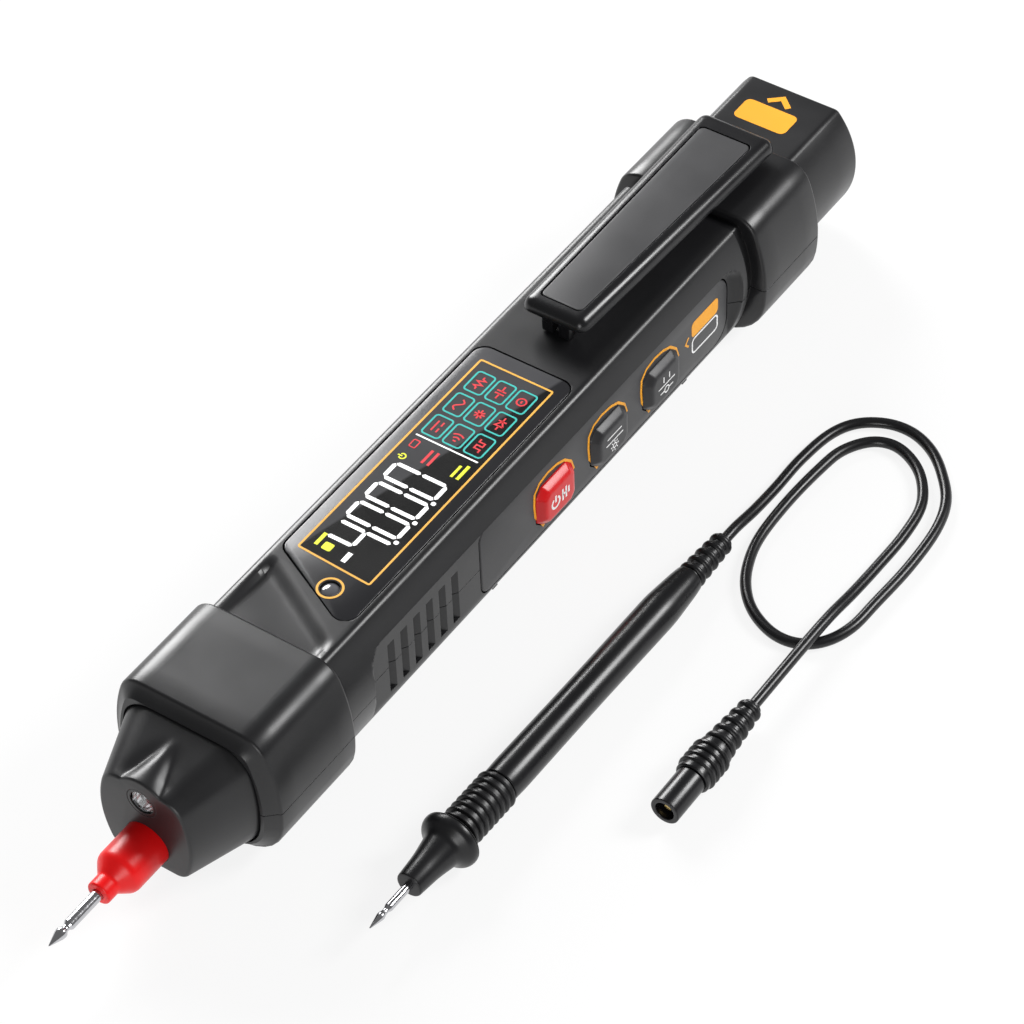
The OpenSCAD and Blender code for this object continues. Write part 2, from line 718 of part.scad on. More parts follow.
module shell_screws() color("silver") screw_places() {
    difference() {
        post(screw_sink, screw_sink + screw_head_t - slide_gap, screw_head_d, 0, 0);
        screw_cross(0, 0, screw_sink);
    }
    post(screw_sink + screw_head_t / 2, screw_reach, screw_d, 0, 0);
}

// Block behind the rear collar, with the lead socket
socket_z = bulge_z;
socket_gap = 0.1;
socket_rest = 7;
insert_wall = 1.5;
socket_d = shroud_d + 2 * socket_gap;
socket_depth = shroud_len + socket_rest;
insert_d = socket_d + 2 * insert_wall;
block_edge = 0.8;
module socket_block() color("#2b2b2d") difference() {
    union() {
        prism(block_sec, tail_x1 - block_root, block_x1 - block_edge);
        hull() {
            prism(block_sec, block_x1 - block_edge - slice, block_x1 - block_edge);
            prism(block_sec, block_x1 - slice, block_x1, -block_edge / 2);
        }
    }
    prism(block_sec, tail_x1 - block_root - over, block_x1 - 2 * wall, -wall);
    rod(block_x1 - 2 * wall - over, block_x1 + over, insert_d + 2 * seat_gap, 0, socket_z);
}
insert_flange_w = 1;
insert_flange_d = insert_d + 2 * insert_flange_w;
insert_flange_t = 1.2;
module socket_insert() color("#1c1c1e") difference() {
    union() {
        rod(block_x1 - socket_depth - wall, block_x1 - slice, insert_d, 0, socket_z);
        rod(block_x1 - 2 * wall - seat_gap - insert_flange_t, block_x1 - 2 * wall - seat_gap,
            insert_flange_d, 0, socket_z);
    }
    rod(block_x1 - socket_depth, block_x1 + over, socket_d, 0, socket_z);
    rod(block_x1 - socket_depth - wall - over, block_x1, contact_d + 2 * slide_gap, 0, socket_z);
}
contact_wall = 0.5;
contact_bore = plug_pin_d + 2 * slide_gap;
contact_d = contact_bore + 2 * contact_wall;
contact_recess = 6;
contact_tail = 6;
module socket_contact() color("#c9a13b") difference() {
    rod(block_x1 - socket_depth - wall - contact_tail, block_x1 - contact_recess, contact_d, 0, socket_z);
    rod(block_x1 - socket_depth, block_x1, contact_bore, 0, socket_z);
}

// Nose: lofted cone, hump over the torch, and guides for the sleeve and the torch
module nose_loft(g) hull() {
    prism(nose_base_sec, rim_x - slice, rim_x, g);
    prism(nose_tip_sec, face_x - min(g, 0), face_x - min(g, 0) + slice, g);
}
guide_wall = 1.5;
guide_end_gap = 1;
guide_end = rim_x + nose_seat - guide_end_gap;
bore_d = sleeve_d + 2 * slide_gap;
torch_seat_d = torch_d + 2 * seat_gap;
torch_tube_end = face_x + torch_depth + 2 * wall;
module nose_outside() {
    nose_loft(0);
    prism(nose_base_sec, rim_x - slice, collar_x0 + nose_seat);
    intersection() {
        rod(face_x, rim_x + over, 2 * hump_r, 0, torch_z);
        block([face_x, -hump_r, torch_z], [rim_x, hump_r, nose_base_top - seat_gap]);
    }
}
module nose_cone() color("#2b2b2d") difference() {
    union() {
        difference() {
            nose_outside();
            nose_loft(-wall);
            prism(nose_base_sec, rim_x - slice - over, collar_x0 + nose_seat + over, -wall);
        }
        intersection() {
            nose_outside();
            union() {
                rod(face_x + wall / 2, guide_end, bore_d + 2 * guide_wall, 0, needle_z);
                rod(face_x + wall / 2, torch_tube_end, torch_seat_d + 2 * guide_wall, 0, torch_z);
            }
        }
    }
    rod(face_x - over, guide_end + over, bore_d, 0, needle_z);
    rod(face_x - over, torch_tube_end + wall, torch_seat_d, 0, torch_z);
}
lens_t = 0.6;
led_d = 3;
led_flange_d = 3.8;
led_len = 4.5;
reflector_wall = 0.4;
module torch_reflector() color("white") difference() {
    rod(face_x + lens_t + seat_gap, face_x + torch_depth, torch_d, 0, torch_z);
    turned_x(face_x, 0, torch_z, [[0, 0], [torch_d / 2 - reflector_wall, 0],
        [torch_d / 2 - reflector_wall, lens_t], [led_d / 2 + slide_gap, torch_depth - lens_t],
        [led_d / 2 + slide_gap, torch_depth + over], [0, torch_depth + over]]);
}
module torch_led() color("#f4f0d8") {
    rod(face_x + torch_depth - led_len / 3, face_x + torch_depth + led_len / 2, led_d, 0, torch_z);
    translate([face_x + torch_depth - led_len / 3, 0, torch_z]) sphere(d = led_d);
    rod(face_x + torch_depth + seat_gap, face_x + torch_depth + led_len / 2, led_flange_d, 0, torch_z);
}
module torch_lens() color("#dfe8ec", 0.6) rod(face_x, face_x + lens_t, torch_d, 0, torch_z);

// Needle, its brass socket, and the red sleeve that slides over it
needle_head_len = 5;
needle_neck = 0.6;
needle_tail = 22;
module probe_needle() color("silver") turned_x(face_x - needle_reach, 0, needle_z, [[0, 0],
    [needle_d * 0.1, needle_d * 0.15], [needle_d / 2, needle_head_len * 0.55],
    [needle_d * needle_neck / 2, needle_head_len * 0.8], [needle_d * needle_neck / 2, needle_head_len * 0.9],
    [needle_d / 2, needle_head_len], [needle_d / 2, needle_reach + needle_tail],
    [0, needle_reach + needle_tail]]);
sleeve_bore = needle_d + 2 * slide_gap;
sleeve_tail_len = sleeve_travel + sleeve_hold;
module needle_sleeve() color("#d81515") {
    r = sleeve_d / 2;
    edge = 0.4;
    x0 = sleeve_tip_len + sleeve_cone_len;
    x1 = x0 + sleeve_body_len;
    turned_x(face_x - x1, 0, needle_z, [[sleeve_bore / 2, 0], [sleeve_tip_d / 2 - edge, 0],
        [sleeve_tip_d / 2, edge], [sleeve_tip_d / 2, sleeve_tip_len], [r - edge, x0 - edge], [r, x0 + edge],
        [r, x1 + sleeve_tail_len], [sleeve_bore / 2, x1 + sleeve_tail_len]]);
}
needle_socket_len = 12;
needle_socket_d = 5;
sleeve_rear_gap = 0.3;
needle_socket_x = face_x + sleeve_tail_len + sleeve_rear_gap;
module needle_socket() color("#c9a13b") difference() {
    rod(needle_socket_x, needle_socket_x + needle_socket_len, needle_socket_d, 0, needle_z);
    rod(needle_socket_x - over, face_x + needle_tail + over, sleeve_bore, 0, needle_z);
}

// Display: window panel, screen, frame and light pipe
module display_window() color("#141416") difference() {
    translate([0, 0, body_h - panel_t]) linear_extrude(panel_t) polygon(panel_plan(0));
    post(body_h - panel_t - over, body_h + over, pipe_d + 2 * seat_gap, pipe_pos[0], pipe_pos[1]);
}
module screen_module() color("#0c0d10") block([-screen_len / 2 - screen_rim, -screen_w / 2 - screen_rim,
    screen_z0], [screen_len / 2 + screen_rim, screen_w / 2 + screen_rim, screen_z0 + screen_t]);
module screen_frame() color("#dcdcdc") difference() {
    x = screen_len / 2 + screen_rim;
    y = screen_w / 2 + screen_rim;
    block([-x, -y, board_top + seat_gap], [x, y, screen_z0 - seat_gap]);
    block([-x + frame_wall, -y + frame_wall, board_top - over],
        [x - frame_wall, y - frame_wall, screen_z0 + over]);
    // Gaps between the four corner legs
    block([-x + frame_leg, -2 * y, board_top - over], [x - frame_leg, 2 * y, screen_z0 - frame_rim]);
    block([-2 * x, -y + frame_leg, board_top - over], [2 * x, y - frame_leg, screen_z0 - frame_rim]);
}
module light_sensor() color("#3a3a3c")
    block([pipe_pos[0] - pipe_d / 2, pipe_pos[1] - pipe_d / 2, board_top],
    [pipe_pos[0] + pipe_d / 2, pipe_pos[1] + pipe_d / 2, board_top + chip_t]);
pipe_dome = 0.5;
module light_pipe() color("#8a8a8e") {
    post(board_top + chip_t + seat_gap, body_h - pipe_dome, pipe_d, pipe_pos[0], pipe_pos[1]);
    intersection() {
        post(body_h - 2 * pipe_dome, body_h + pipe_dome, pipe_d, pipe_pos[0], pipe_pos[1]);
        translate([pipe_pos[0], pipe_pos[1], body_h - pipe_d]) sphere(r = pipe_d);
    }
}

// Button panel and buttons
panel_face = -pad_y - keys_proud;
panel_rear = panel_face + keys_t;
module button_panel() color("#3c3c3f") difference() {
    towards_minus_y(panel_rear, panel_face) polygon(keys_plan(0));
    for (x = key_xs) translate([x, 0, key_z]) towards_minus_y(panel_rear + over, panel_face - over)
        polygon(key_plan(key_gap));
}
flange_t = 0.8;
flange_grow = 0.8;
flange_y = panel_rear + seat_gap / 2;
flange_z = [cell_z + cell_r * 0.42, key_z + key_h / 2 + flange_grow];
stem_len = 0.4;
stem_w = 2.4;
plunger_gap = 0.05;
plunger_d = 1.4;
plunger_len = 0.5;
switch_w = 6;
// Share of the height between the board and the rim of the screen's frame
switch_share = 0.7;
switch_h = switch_share * (screen_z0 - frame_rim - board_top);
switch_l = 3.4;
switch_z = board_top + switch_h / 2;
plunger_y = flange_y + flange_t + stem_len + key_travel + plunger_gap;
module button(x) {
    translate([x, 0, key_z]) {
        towards_minus_y(flange_y + slice, panel_face) polygon(key_plan(0));
        hull() {
            towards_minus_y(panel_face + slice, panel_face) polygon(key_plan(0));
            towards_minus_y(panel_face - key_proud + slice, panel_face - key_proud)
                polygon(key_plan(-key_slope));
        }
    }
    block([x - key_len / 2 - flange_grow, flange_y, flange_z[0]],
        [x + key_len / 2 + flange_grow, flange_y + flange_t, flange_z[1]]);
    block([x - stem_w / 2, flange_y, switch_z - stem_w / 3],
        [x + stem_w / 2, flange_y + flange_t + stem_len, switch_z + stem_w / 3]);
}
module power_button() color("#e01b1b") button(key_xs[0]);
module hold_button() color("#4a4a4d") button(key_xs[1]);
module mode_button() color("#4a4a4d") button(key_xs[2]);
module key_switches() color("#b9b9bd") for (x = key_xs) {
    y = plunger_y + plunger_len;
    block([x - switch_w / 2, y, board_top], [x + switch_w / 2, y + switch_l, board_top + switch_h]);
    translate([x, y + slice, switch_z]) rotate([90, 0, 0]) cylinder(h = plunger_len + slice, d = plunger_d);
}

// Electronics
module main_board() color("#1d6b3a") difference() {
    block([board_x0, -board_half_w, board_z], [board_x1, board_half_w, board_top]);
    screw_places() post(0, collar_h, pillar_d + 2 * inlay_gap, 0, 0);
}
chip_size = 7;
// Places of the chips along the board
chip_shares = [0.32, 0.48, 0.91];
module meter_chips() color("#18181a") for (share = chip_shares) {
    x = board_x0 + share * (board_x1 - board_x0);
    block([x - chip_size / 2, -chip_size / 2, board_top],
        [x + chip_size / 2, chip_size / 2, board_top + chip_t]);
}
fuse_d = 2.6;
fuse_len = 8;
fuse_y = 5;
fuse_inset = 3;
module input_fuse() color("#d8cfae")
    rod(collar_x1 + fuse_inset, collar_x1 + fuse_inset + fuse_len, fuse_d, fuse_y, board_top + fuse_d / 2);
buzzer_d = 9;
buzzer_h = 3;
buzzer_hole_d = 1.5;
buzzer_x = board_x1 - buzzer_d / 2 - buzzer_hole_d;
module buzzer() color("#18181a") difference() {
    post(board_z - buzzer_h, board_z, buzzer_d, buzzer_x, 0);
    post(board_z - buzzer_h - over, board_z - buzzer_h + over, buzzer_hole_d, buzzer_x, 0);
}
// Sheet that feels mains fields: a strip soldered to the board with its front end turned up
antenna_t = 0.3;
antenna_w = 6;
antenna_h = 6;
antenna_reach = 11;
antenna_lap = 6;
module field_antenna() color("#c98a4b") {
    x = board_x0 - antenna_reach;
    block([x, -antenna_w / 2, board_top], [board_x0 + antenna_lap, antenna_w / 2, board_top + antenna_t]);
    block([x, -antenna_w / 2, board_top], [x + antenna_t, antenna_w / 2, board_top + antenna_h]);
}
// Wires from the needle's socket and the lead's socket to the board
wire_d = 1;
wire_sag = 1.5;
wire_reach = 8;
function wire_path(p, q, sag) = [p, p + [2 * wire_d, 0, 0], (p + q) / 2 - [0, 0, sag],
    q - [2 * wire_d, 0, 0], q];
module inner_wires() color("#b52222") {
    front = [needle_socket_x + needle_socket_len + seat_gap, 0, needle_z];
    front_end = [front[0] + wire_reach, 0, board_z - wire_d / 2 - inlay_gap];
    back = [board_x1 - 3 * wire_d, 0, board_top + wire_d / 2 + inlay_gap];
    back_end = [block_x1 - socket_depth - wall - contact_tail - seat_gap, 0, socket_z];
    tube(spline(wire_path(front, front_end, 0), 3), wire_d / 2, 8);
    tube(spline(wire_path(back, back_end, wire_sag), 3), wire_d / 2, 8);
}

// Pocket clip, drawn flat with its root at the origin, then tilted and placed
clip_wall = 1.5;
clip_lip = 2.2;
clip_solid = clip_foot_back + clip_foot_len + clip_lip;
rib_w = 2.3;
rib_gap = 1.1;
rib_len = 2;
function clip_plan(g) = rounded([[0 + g, clip_back_half_w + g], [-clip_len - g, clip_front_half_w + g],
    [-clip_len - g, -clip_front_half_w - g], [0 + g, -clip_back_half_w - g]], clip_r + max(g, -clip_r / 2));
// The clip passes over both the collar and the body
clip_floor = max(collar_h, body_h) + clip_z;
module clip_place() translate([clip_back, 0, clip_floor]) rotate([0, clip_rise, 0]) children();
clip_pocket_t = 0.5;
plate_back = 4.6;
function plate_plan(g) = rounded([[-plate_back + g, clip_back_half_w - clip_bevel - ledge / 2 + g],
    [-clip_len + clip_bevel + ledge / 2 - g, clip_front_half_w - clip_bevel - ledge / 4 + g],
    [-clip_len + clip_bevel + ledge / 2 - g, -clip_front_half_w + clip_bevel + ledge / 4 - g],
    [-plate_back + g, -clip_back_half_w + clip_bevel + ledge / 2 - g]], clip_r / 2);
module pocket_clip() color("#343437") {
    clip_place() difference() {
        hull() {
            linear_extrude(slice) polygon(clip_plan(0));
            translate([0, 0, clip_t - slice]) linear_extrude(slice) polygon(clip_plan(-clip_bevel));
        }
        translate([0, 0, clip_t - clip_pocket_t]) linear_extrude(clip_t) polygon(plate_plan(inlay_gap));
        hull() {
            translate([0, 0, -slice]) linear_extrude(2 * slice) intersection() {
                polygon(clip_plan(-clip_wall));
                translate([-clip_len + clip_lip, -clip_len])
                    square([clip_len - clip_lip - clip_solid, 2 * clip_len]);
            }
            translate([0, 0, clip_t - clip_pocket_t - clip_wall / 2]) linear_extrude(slice) intersection() {
                polygon(clip_plan(-clip_wall - clip_bevel / 2));
                translate([-clip_len + 2 * clip_lip, -clip_len])
                    square([clip_len - 3 * clip_lip - clip_solid, 2 * clip_len]);
            }
        }
    }
    // Foot that goes into the rear collar, and two ribs under the free end
    block([clip_foot_x - clip_foot_len, -clip_foot_half_w, clip_foot_z],
        [clip_foot_x, clip_foot_half_w, clip_floor + clip_t / 3]);
    free_end_z = clip_floor + clip_len * sin(clip_rise);
    for (y = [-rib_gap / 2 - rib_w, rib_gap / 2]) block([clip_back - clip_len + rib_len / 2, y,
        body_h + loose_gap / 2], [clip_back - clip_len + 1.5 * rib_len, y + rib_w,
        free_end_z + clip_t / 3]);
}
module clip_plate() color("#4a4a4e") clip_place() translate([0, 0, clip_t - clip_pocket_t + slide_gap])
    linear_extrude(clip_pocket_t - slide_gap) polygon(plate_plan(0));

// Cells, their springs and plates: the two cells point opposite ways
module cell(y, flip) translate([flip ? cell_x1 : cell_x0, y, cell_z]) rotate([0, flip ? -90 : 90, 0]) {
    cylinder(h = cell_can_len, d = cell_d);
    cylinder(h = cell_len, d = cell_nub_d);
}
module cell_1() color("#3f7fbf") cell(cell_y[0], false);
module cell_2() color("#3f7fbf") cell(cell_y[1], true);
spring_turns = 4;
spring_wire = 0.3;
spring_r = 3;
spring_rings = 8;
// Spring that narrows from the bulkhead to the flat end of a cell
function spring_path(x0, x1, y) = [for (i = [0 : spring_turns * spring_rings])
    let (f = i / (spring_turns * spring_rings), r = spring_r * (1 - f / 2), a = 360 * i / spring_rings)
    [x0 + (x1 - x0) * f, y + r * cos(a), cell_z + r * sin(a)]];
spring_clear = spring_wire + seat_gap;
module cell_springs() color("#c7c7cb") {
    tube(spring_path(door_front + plate_t + spring_clear, cell_x0 - spring_clear, cell_y[0]), spring_wire, 6);
    tube(spring_path(bay_x1 - plate_t - spring_clear, cell_x1 + spring_clear, cell_y[1]), spring_wire, 6);
}
// Four plates, two of them bent forward to reach the button end of a cell
module cell_plates() color("#c7c7cb") for (i = [0, 1]) {
    y = cell_y[i];
    for (x = [door_front, bay_x1 - plate_t]) block([x, y - plate_w / 2, cell_z - plate_drop],
        [x + plate_t, y + plate_w / 2, cell_z + plate_w / 2]);
    if (i == 0) rod(cell_x1 + seat_gap, bay_x1 - plate_t / 2, cell_nub_d, y, cell_z);
    if (i == 1) rod(door_front + plate_t / 2, cell_x0 - seat_gap, cell_nub_d, y, cell_z);
}

// Test lead: probe handle, drawn along X from the end of its strain relief, tilted so
// that the guard and the tail end both lie on the surface
handle_y = -38;
handle_x1 = 33;
tip_len = 10.5;
tip_d = 1.5;
nozzle_len = 10.5;
nozzle_d = 4.8;
guard_t = 2.2;
grip_len = 12.5;
barrel_len = 47.5;
shoulder_len = 9;
relief_len = 11;
relief_d = 5.2;
lead_lift = 0.03;
relief_x = -relief_len;
shoulder_x = relief_x - shoulder_len;
barrel_x = shoulder_x - barrel_len;
grip_x = barrel_x - grip_len;
guard_x = grip_x - guard_t;
nozzle_x = guard_x - nozzle_len;
// The handle tilts until its guard and its shoulder both touch the surface
lead_tilt = asin((guard_d - handle_d) / 2 / (shoulder_x - guard_x - guard_t / 2));
tail_z = handle_d / 2 + shoulder_x * sin(lead_tilt) + lead_lift;
module handle_place() translate([handle_x1, handle_y, tail_z]) rotate([0, lead_tilt, 0]) children();
core_d = 4.6;
module lead_handle() color("#1b1b1d") handle_place() turned_x(0, 0, 0, [[0, nozzle_x + core_d / 2],
    [core_d / 2, nozzle_x + core_d / 2], [core_d / 2, barrel_x - seat_gap],
    [handle_d / 2 - cord_d / 4, barrel_x - seat_gap],
    [handle_d / 2, barrel_x + cord_d / 4], [handle_d / 2, shoulder_x],
    [relief_d / 2 + cord_d / 8, relief_x - cord_d], [relief_d / 2, relief_x - seat_gap],
    [0, relief_x - seat_gap]]);
rib_count = 8;
rib_rise = 0.4;
// Soft grip: tapered nozzle, finger guard and ribs in one moulding over the handle's core
module lead_grip() color("#1b1b1d") handle_place() {
    bore = core_d / 2 + slide_gap;
    r = handle_d / 2;
    pitch = grip_len / rib_count;
    ribs = [for (i = [0 : rib_count - 1]) each [[r - rib_rise / 2, grip_x + pitch * (i + 0.15)],
        [r + rib_rise, grip_x + pitch * (i + 0.35)], [r + rib_rise, grip_x + pitch * (i + 0.65)],
        [r - rib_rise / 2, grip_x + pitch * (i + 0.85)]]];
    turned_x(0, 0, 0, concat([[tip_d / 2 + slide_gap, nozzle_x], [nozzle_d / 2 - rib_rise, nozzle_x],
        [nozzle_d / 2, nozzle_x + rib_rise], [handle_d / 2, guard_x - guard_t],
        [guard_d / 2 - rib_rise, guard_x],
        [guard_d / 2, guard_x + guard_t / 3], [guard_d / 2, guard_x + guard_t * 2 / 3],
        [guard_d / 2 - rib_rise, grip_x], [handle_d / 2, grip_x]], ribs,
        [[handle_d / 2 - rib_rise, barrel_x - 2 * seat_gap], [bore, barrel_x - 2 * seat_gap],
        [bore, nozzle_x + core_d / 2 - seat_gap],
        [tip_d / 2 + slide_gap, nozzle_x + core_d / 2 - seat_gap]]));
}
module lead_tip() color("silver") handle_place() turned_x(0, 0, 0, [[0, nozzle_x - tip_len],
    [tip_d / 2, nozzle_x - tip_len + 2 * tip_d], [tip_d / 3, nozzle_x - tip_len + 2.6 * tip_d],
    [tip_d / 3, nozzle_x - tip_len + 3 * tip_d], [tip_d / 2, nozzle_x - tip_len + 3.4 * tip_d],
    [tip_d / 2, nozzle_x + core_d / 2 - seat_gap], [0, nozzle_x + core_d / 2 - seat_gap]]);
relief_rings = 5;
// Outline of a tapered strain relief with grooves
function relief_profile(x0, x1, r0, r1, n) =
    let (pitch = (x1 - x0) / n, k = pitch * 0.2, s = (r1 - r0) / n)
    [for (i = [0 : n - 1]) each [[r0 + s * i - k, x0 + pitch * i + k], [r0 + s * i, x0 + pitch * i + 1.6 * k],
        [r0 + s * i, x0 + pitch * (i + 1) - 1.6 * k], [r0 + s * i - k, x0 + pitch * (i + 1) - k]]];
module lead_strain_relief() color("#1b1b1d") handle_place()
    turned_x(0, 0, 0, concat([[0, relief_x], [relief_d / 2 - rib_rise, relief_x]],
        relief_profile(relief_x, 0, relief_d / 2, relief_d / 2 - rib_rise, relief_rings),
        [[relief_d / 2 - 2 * rib_rise, 0], [0, 0]]));

// Plug, drawn along X from the cord side, with its open end at -X
plug_x = 3;
plug_y = -62.5;
plug_z = plug_swell_d / 2;
plug_relief_len = 11;
plug_relief_d = 4.2;
plug_body_len = 7.5;
plug_neck_d = 6.3;
plug_body_x = plug_x - plug_relief_len - plug_body_len;
module plug_strain_relief() color("#1b1b1d") turned_x(plug_x - plug_relief_len, plug_y, plug_z,
    concat([[0, 0], [plug_neck_d / 2 - rib_rise, 0]],
    relief_profile(0, plug_relief_len, plug_neck_d / 2 - rib_rise / 2, plug_relief_d / 2, relief_rings),
    [[plug_relief_d / 2 - rib_rise, plug_relief_len], [0, plug_relief_len]]));
plug_groove = 0.35;
module plug_body() color("#1b1b1d") {
    r = plug_swell_d / 2;
    groove = plug_groove;
    turned_x(plug_body_x, plug_y, plug_z, concat([[plug_pin_d / 2 + slide_gap, 0], [plug_neck_d / 2, 0],
        [plug_neck_d / 2, 0.12 * plug_body_len]],
        [for (i = [0 : 3]) let (a = 0.2 + 0.18 * i) each [[r - groove, a * plug_body_len],
            [r, (a + 0.04) * plug_body_len], [r, (a + 0.12) * plug_body_len],
            [r - groove, (a + 0.16) * plug_body_len]]],
        [[plug_neck_d / 2, plug_body_len - seat_gap],
            [plug_pin_d / 2 + slide_gap, plug_body_len - seat_gap]]));
}
shroud_wall = 0.9;
shroud_base = 1.8;
pin_recess = 1;
module plug_shroud() color("#1b1b1d") difference() {
    rod(plug_body_x - seat_gap - shroud_len, plug_body_x - seat_gap, shroud_d, plug_y, plug_z);
    rod(plug_body_x - shroud_len - over, plug_body_x - seat_gap - shroud_base, shroud_d - 2 * shroud_wall,
        plug_y, plug_z);
    rod(plug_body_x - shroud_len - over, plug_body_x + over, plug_pin_d + 2 * slide_gap, plug_y, plug_z);
}
module plug_pin() color("#c9a13b")
    rod(plug_body_x - shroud_len + pin_recess, plug_body_x + plug_body_len / 2, plug_pin_d, plug_y, plug_z);

// Route of the lead's cord, lying on the surface, chosen by hand
cord_route = [[33, -38, 2.75], [37, -38, 2.6], [43, -38, 1.6], [50, -38, 1.1], [58, -38, 1.1], [66, -39, 1.1],
    [71, -41.5, 1.1], [74, -46, 1.1], [74.5, -51, 1.1], [72.5, -56, 1.1], [68.5, -60.5, 1.1],
    [63, -64.5, 1.1],
    [56, -66.5, 1.1], [46, -67, 1.1], [36, -66.5, 1.1], [29, -66, 1.1], [24, -64, 1.1], [21, -60.5, 1.1],
    [20.5, -56, 1.1], [22.5, -51, 1.1], [26, -47, 1.1], [31, -44, 1.1], [38, -42, 1.1], [48, -41.5, 1.1],
    [58, -42, 1.1], [64, -43, 1.1], [68.5, -46, 1.1], [70, -50, 1.1], [68.5, -54.5, 1.1], [65, -58.5, 1.1],
    [59.5, -61.5, 1.1], [52, -62.5, 1.1], [43, -62.5, 1.3], [35, -62.5, 2], [28, -62.5, 3.1],
    [21, -62.5, 3.5], [13, -62.5, 3.6], [7, -62.5, 3.6], [3, -62.5, 3.6]];
module lead_cord() color("#151517") tube(spline(cord_route, 2), cord_d / 2, 8);

upper_shell();
lower_shell();
socket_block();
nose_cone();
torch_reflector();
torch_led();
torch_lens();
probe_needle();
needle_sleeve();
needle_socket();
display_window();
screen_module();
screen_frame();
light_pipe();
light_sensor();
button_panel();
power_button();
hold_button();
mode_button();
key_switches();
main_board();
meter_chips();
input_fuse();
buzzer();
field_antenna();
pocket_clip();
clip_plate();
battery_door();
door_screw();
cell_1();
cell_2();
cell_springs();
cell_plates();
socket_insert();
socket_contact();
shell_screws();
lead_handle();
lead_grip();
lead_tip();
lead_strain_relief();
lead_cord();
plug_strain_relief();
plug_body();
plug_shroud();
plug_pin();
inner_wires();
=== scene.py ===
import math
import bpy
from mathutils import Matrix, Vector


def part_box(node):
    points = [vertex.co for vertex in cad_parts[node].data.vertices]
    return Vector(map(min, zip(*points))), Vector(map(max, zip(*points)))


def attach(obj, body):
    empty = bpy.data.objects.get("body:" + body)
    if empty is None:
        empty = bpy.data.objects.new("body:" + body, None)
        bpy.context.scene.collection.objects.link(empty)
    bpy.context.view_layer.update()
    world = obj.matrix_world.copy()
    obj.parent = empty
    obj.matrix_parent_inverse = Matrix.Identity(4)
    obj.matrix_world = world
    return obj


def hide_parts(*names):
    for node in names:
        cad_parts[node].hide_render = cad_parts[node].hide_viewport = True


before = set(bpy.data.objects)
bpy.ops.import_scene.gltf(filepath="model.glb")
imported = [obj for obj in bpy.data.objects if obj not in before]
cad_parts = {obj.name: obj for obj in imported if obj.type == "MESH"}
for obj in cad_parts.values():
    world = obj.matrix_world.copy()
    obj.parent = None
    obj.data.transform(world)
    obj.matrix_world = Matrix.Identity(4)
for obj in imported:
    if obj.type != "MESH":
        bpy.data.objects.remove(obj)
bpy.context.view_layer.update()        # bodies, nodes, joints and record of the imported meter

# %% [markdown]
# Pen multimeter
#
# A slim meter in the shape of a thick pen: a dark plastic case in two shells, a colour
# display on top, three buttons on its side, a pocket clip, and a steel needle in a red
# sleeve at the nose. Its black test lead lies beside it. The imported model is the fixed
# frame: X runs along the pen with the needle at -X, Y across it with the buttons at -Y,
# and Z up. Everything below is drawn in millimetres and scaled to metres when it is done.

MM = 0.001


def node_box(node):
    """Lowest and highest corner of a CAD node in millimetres."""
    low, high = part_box(node)
    return low / MM, high / MM


# %% [markdown]
# The camera comes first. Its place and lens were worked out from the straight edges of
# the pen, so the render lies over the photograph. A long lens from about 0.65 m keeps
# the pen nearly free of perspective, as a catalogue picture is.

# %% Camera
FRAME_PX = 1024
FOCAL_PX = 3850
SENSOR_MM = 36
CAMERA_PLACE = Vector((-354.39, -278.44, 480.97))
NEAREST_SEEN = 0.01
HEADING, DIP, ROLL = (math.radians(a) for a in (36.36, 45.89, -2.59))


def camera_axes():
    """Right, up and forward of the camera from its heading, dip and roll."""
    ahead = Vector((math.cos(HEADING) * math.cos(DIP), math.sin(HEADING) * math.cos(DIP),
                    -math.sin(DIP)))
    level = Vector((math.sin(HEADING), -math.cos(HEADING), 0))
    upright = level.cross(ahead)
    right = math.cos(ROLL) * level + math.sin(ROLL) * upright
    up = -math.sin(ROLL) * level + math.cos(ROLL) * upright
    return right, up, ahead


right, up, ahead = camera_axes()
camera = bpy.data.objects.new("camera", bpy.data.cameras.new("camera"))
bpy.context.scene.collection.objects.link(camera)
view = Matrix((right, up, -ahead)).transposed().to_4x4()
camera.matrix_world = Matrix.Translation(CAMERA_PLACE * MM) @ view
camera.data.sensor_width = SENSOR_MM
camera.data.lens = FOCAL_PX * SENSOR_MM / FRAME_PX
camera.data.clip_start = NEAREST_SEEN
bpy.context.scene.camera = camera
print("lens", round(camera.data.lens, 1), "mm")

# %% [markdown]
# The cord of the lead is one fixed length of thin soft cable. Its route is a list of
# points, the same ones as in the part's source, with one smooth curve through them.
# It leaves the handle's strain relief straight, makes two long flat loops on the surface,
# and rises a little into the plug.

# %% Route of the lead's cord
CORD_D = 2
CORD_ROUTE = [
    (33, -38, 2.75), (37, -38, 2.6), (43, -38, 1.6), (50, -38, 1.1), (58, -38, 1.1),
    (66, -39, 1.1), (71, -41.5, 1.1), (74, -46, 1.1), (74.5, -51, 1.1), (72.5, -56, 1.1),
    (68.5, -60.5, 1.1), (63, -64.5, 1.1), (56, -66.5, 1.1), (46, -67, 1.1),
    (36, -66.5, 1.1), (29, -66, 1.1), (24, -64, 1.1), (21, -60.5, 1.1), (20.5, -56, 1.1),
    (22.5, -51, 1.1), (26, -47, 1.1), (31, -44, 1.1), (38, -42, 1.1), (48, -41.5, 1.1),
    (58, -42, 1.1), (64, -43, 1.1), (68.5, -46, 1.1), (70, -50, 1.1), (68.5, -54.5, 1.1),
    (65, -58.5, 1.1), (59.5, -61.5, 1.1), (52, -62.5, 1.1), (43, -62.5, 1.3),
    (35, -62.5, 2), (28, -62.5, 3.1), (21, -62.5, 3.5), (13, -62.5, 3.6), (7, -62.5, 3.6),
    (3, -62.5, 3.6)]
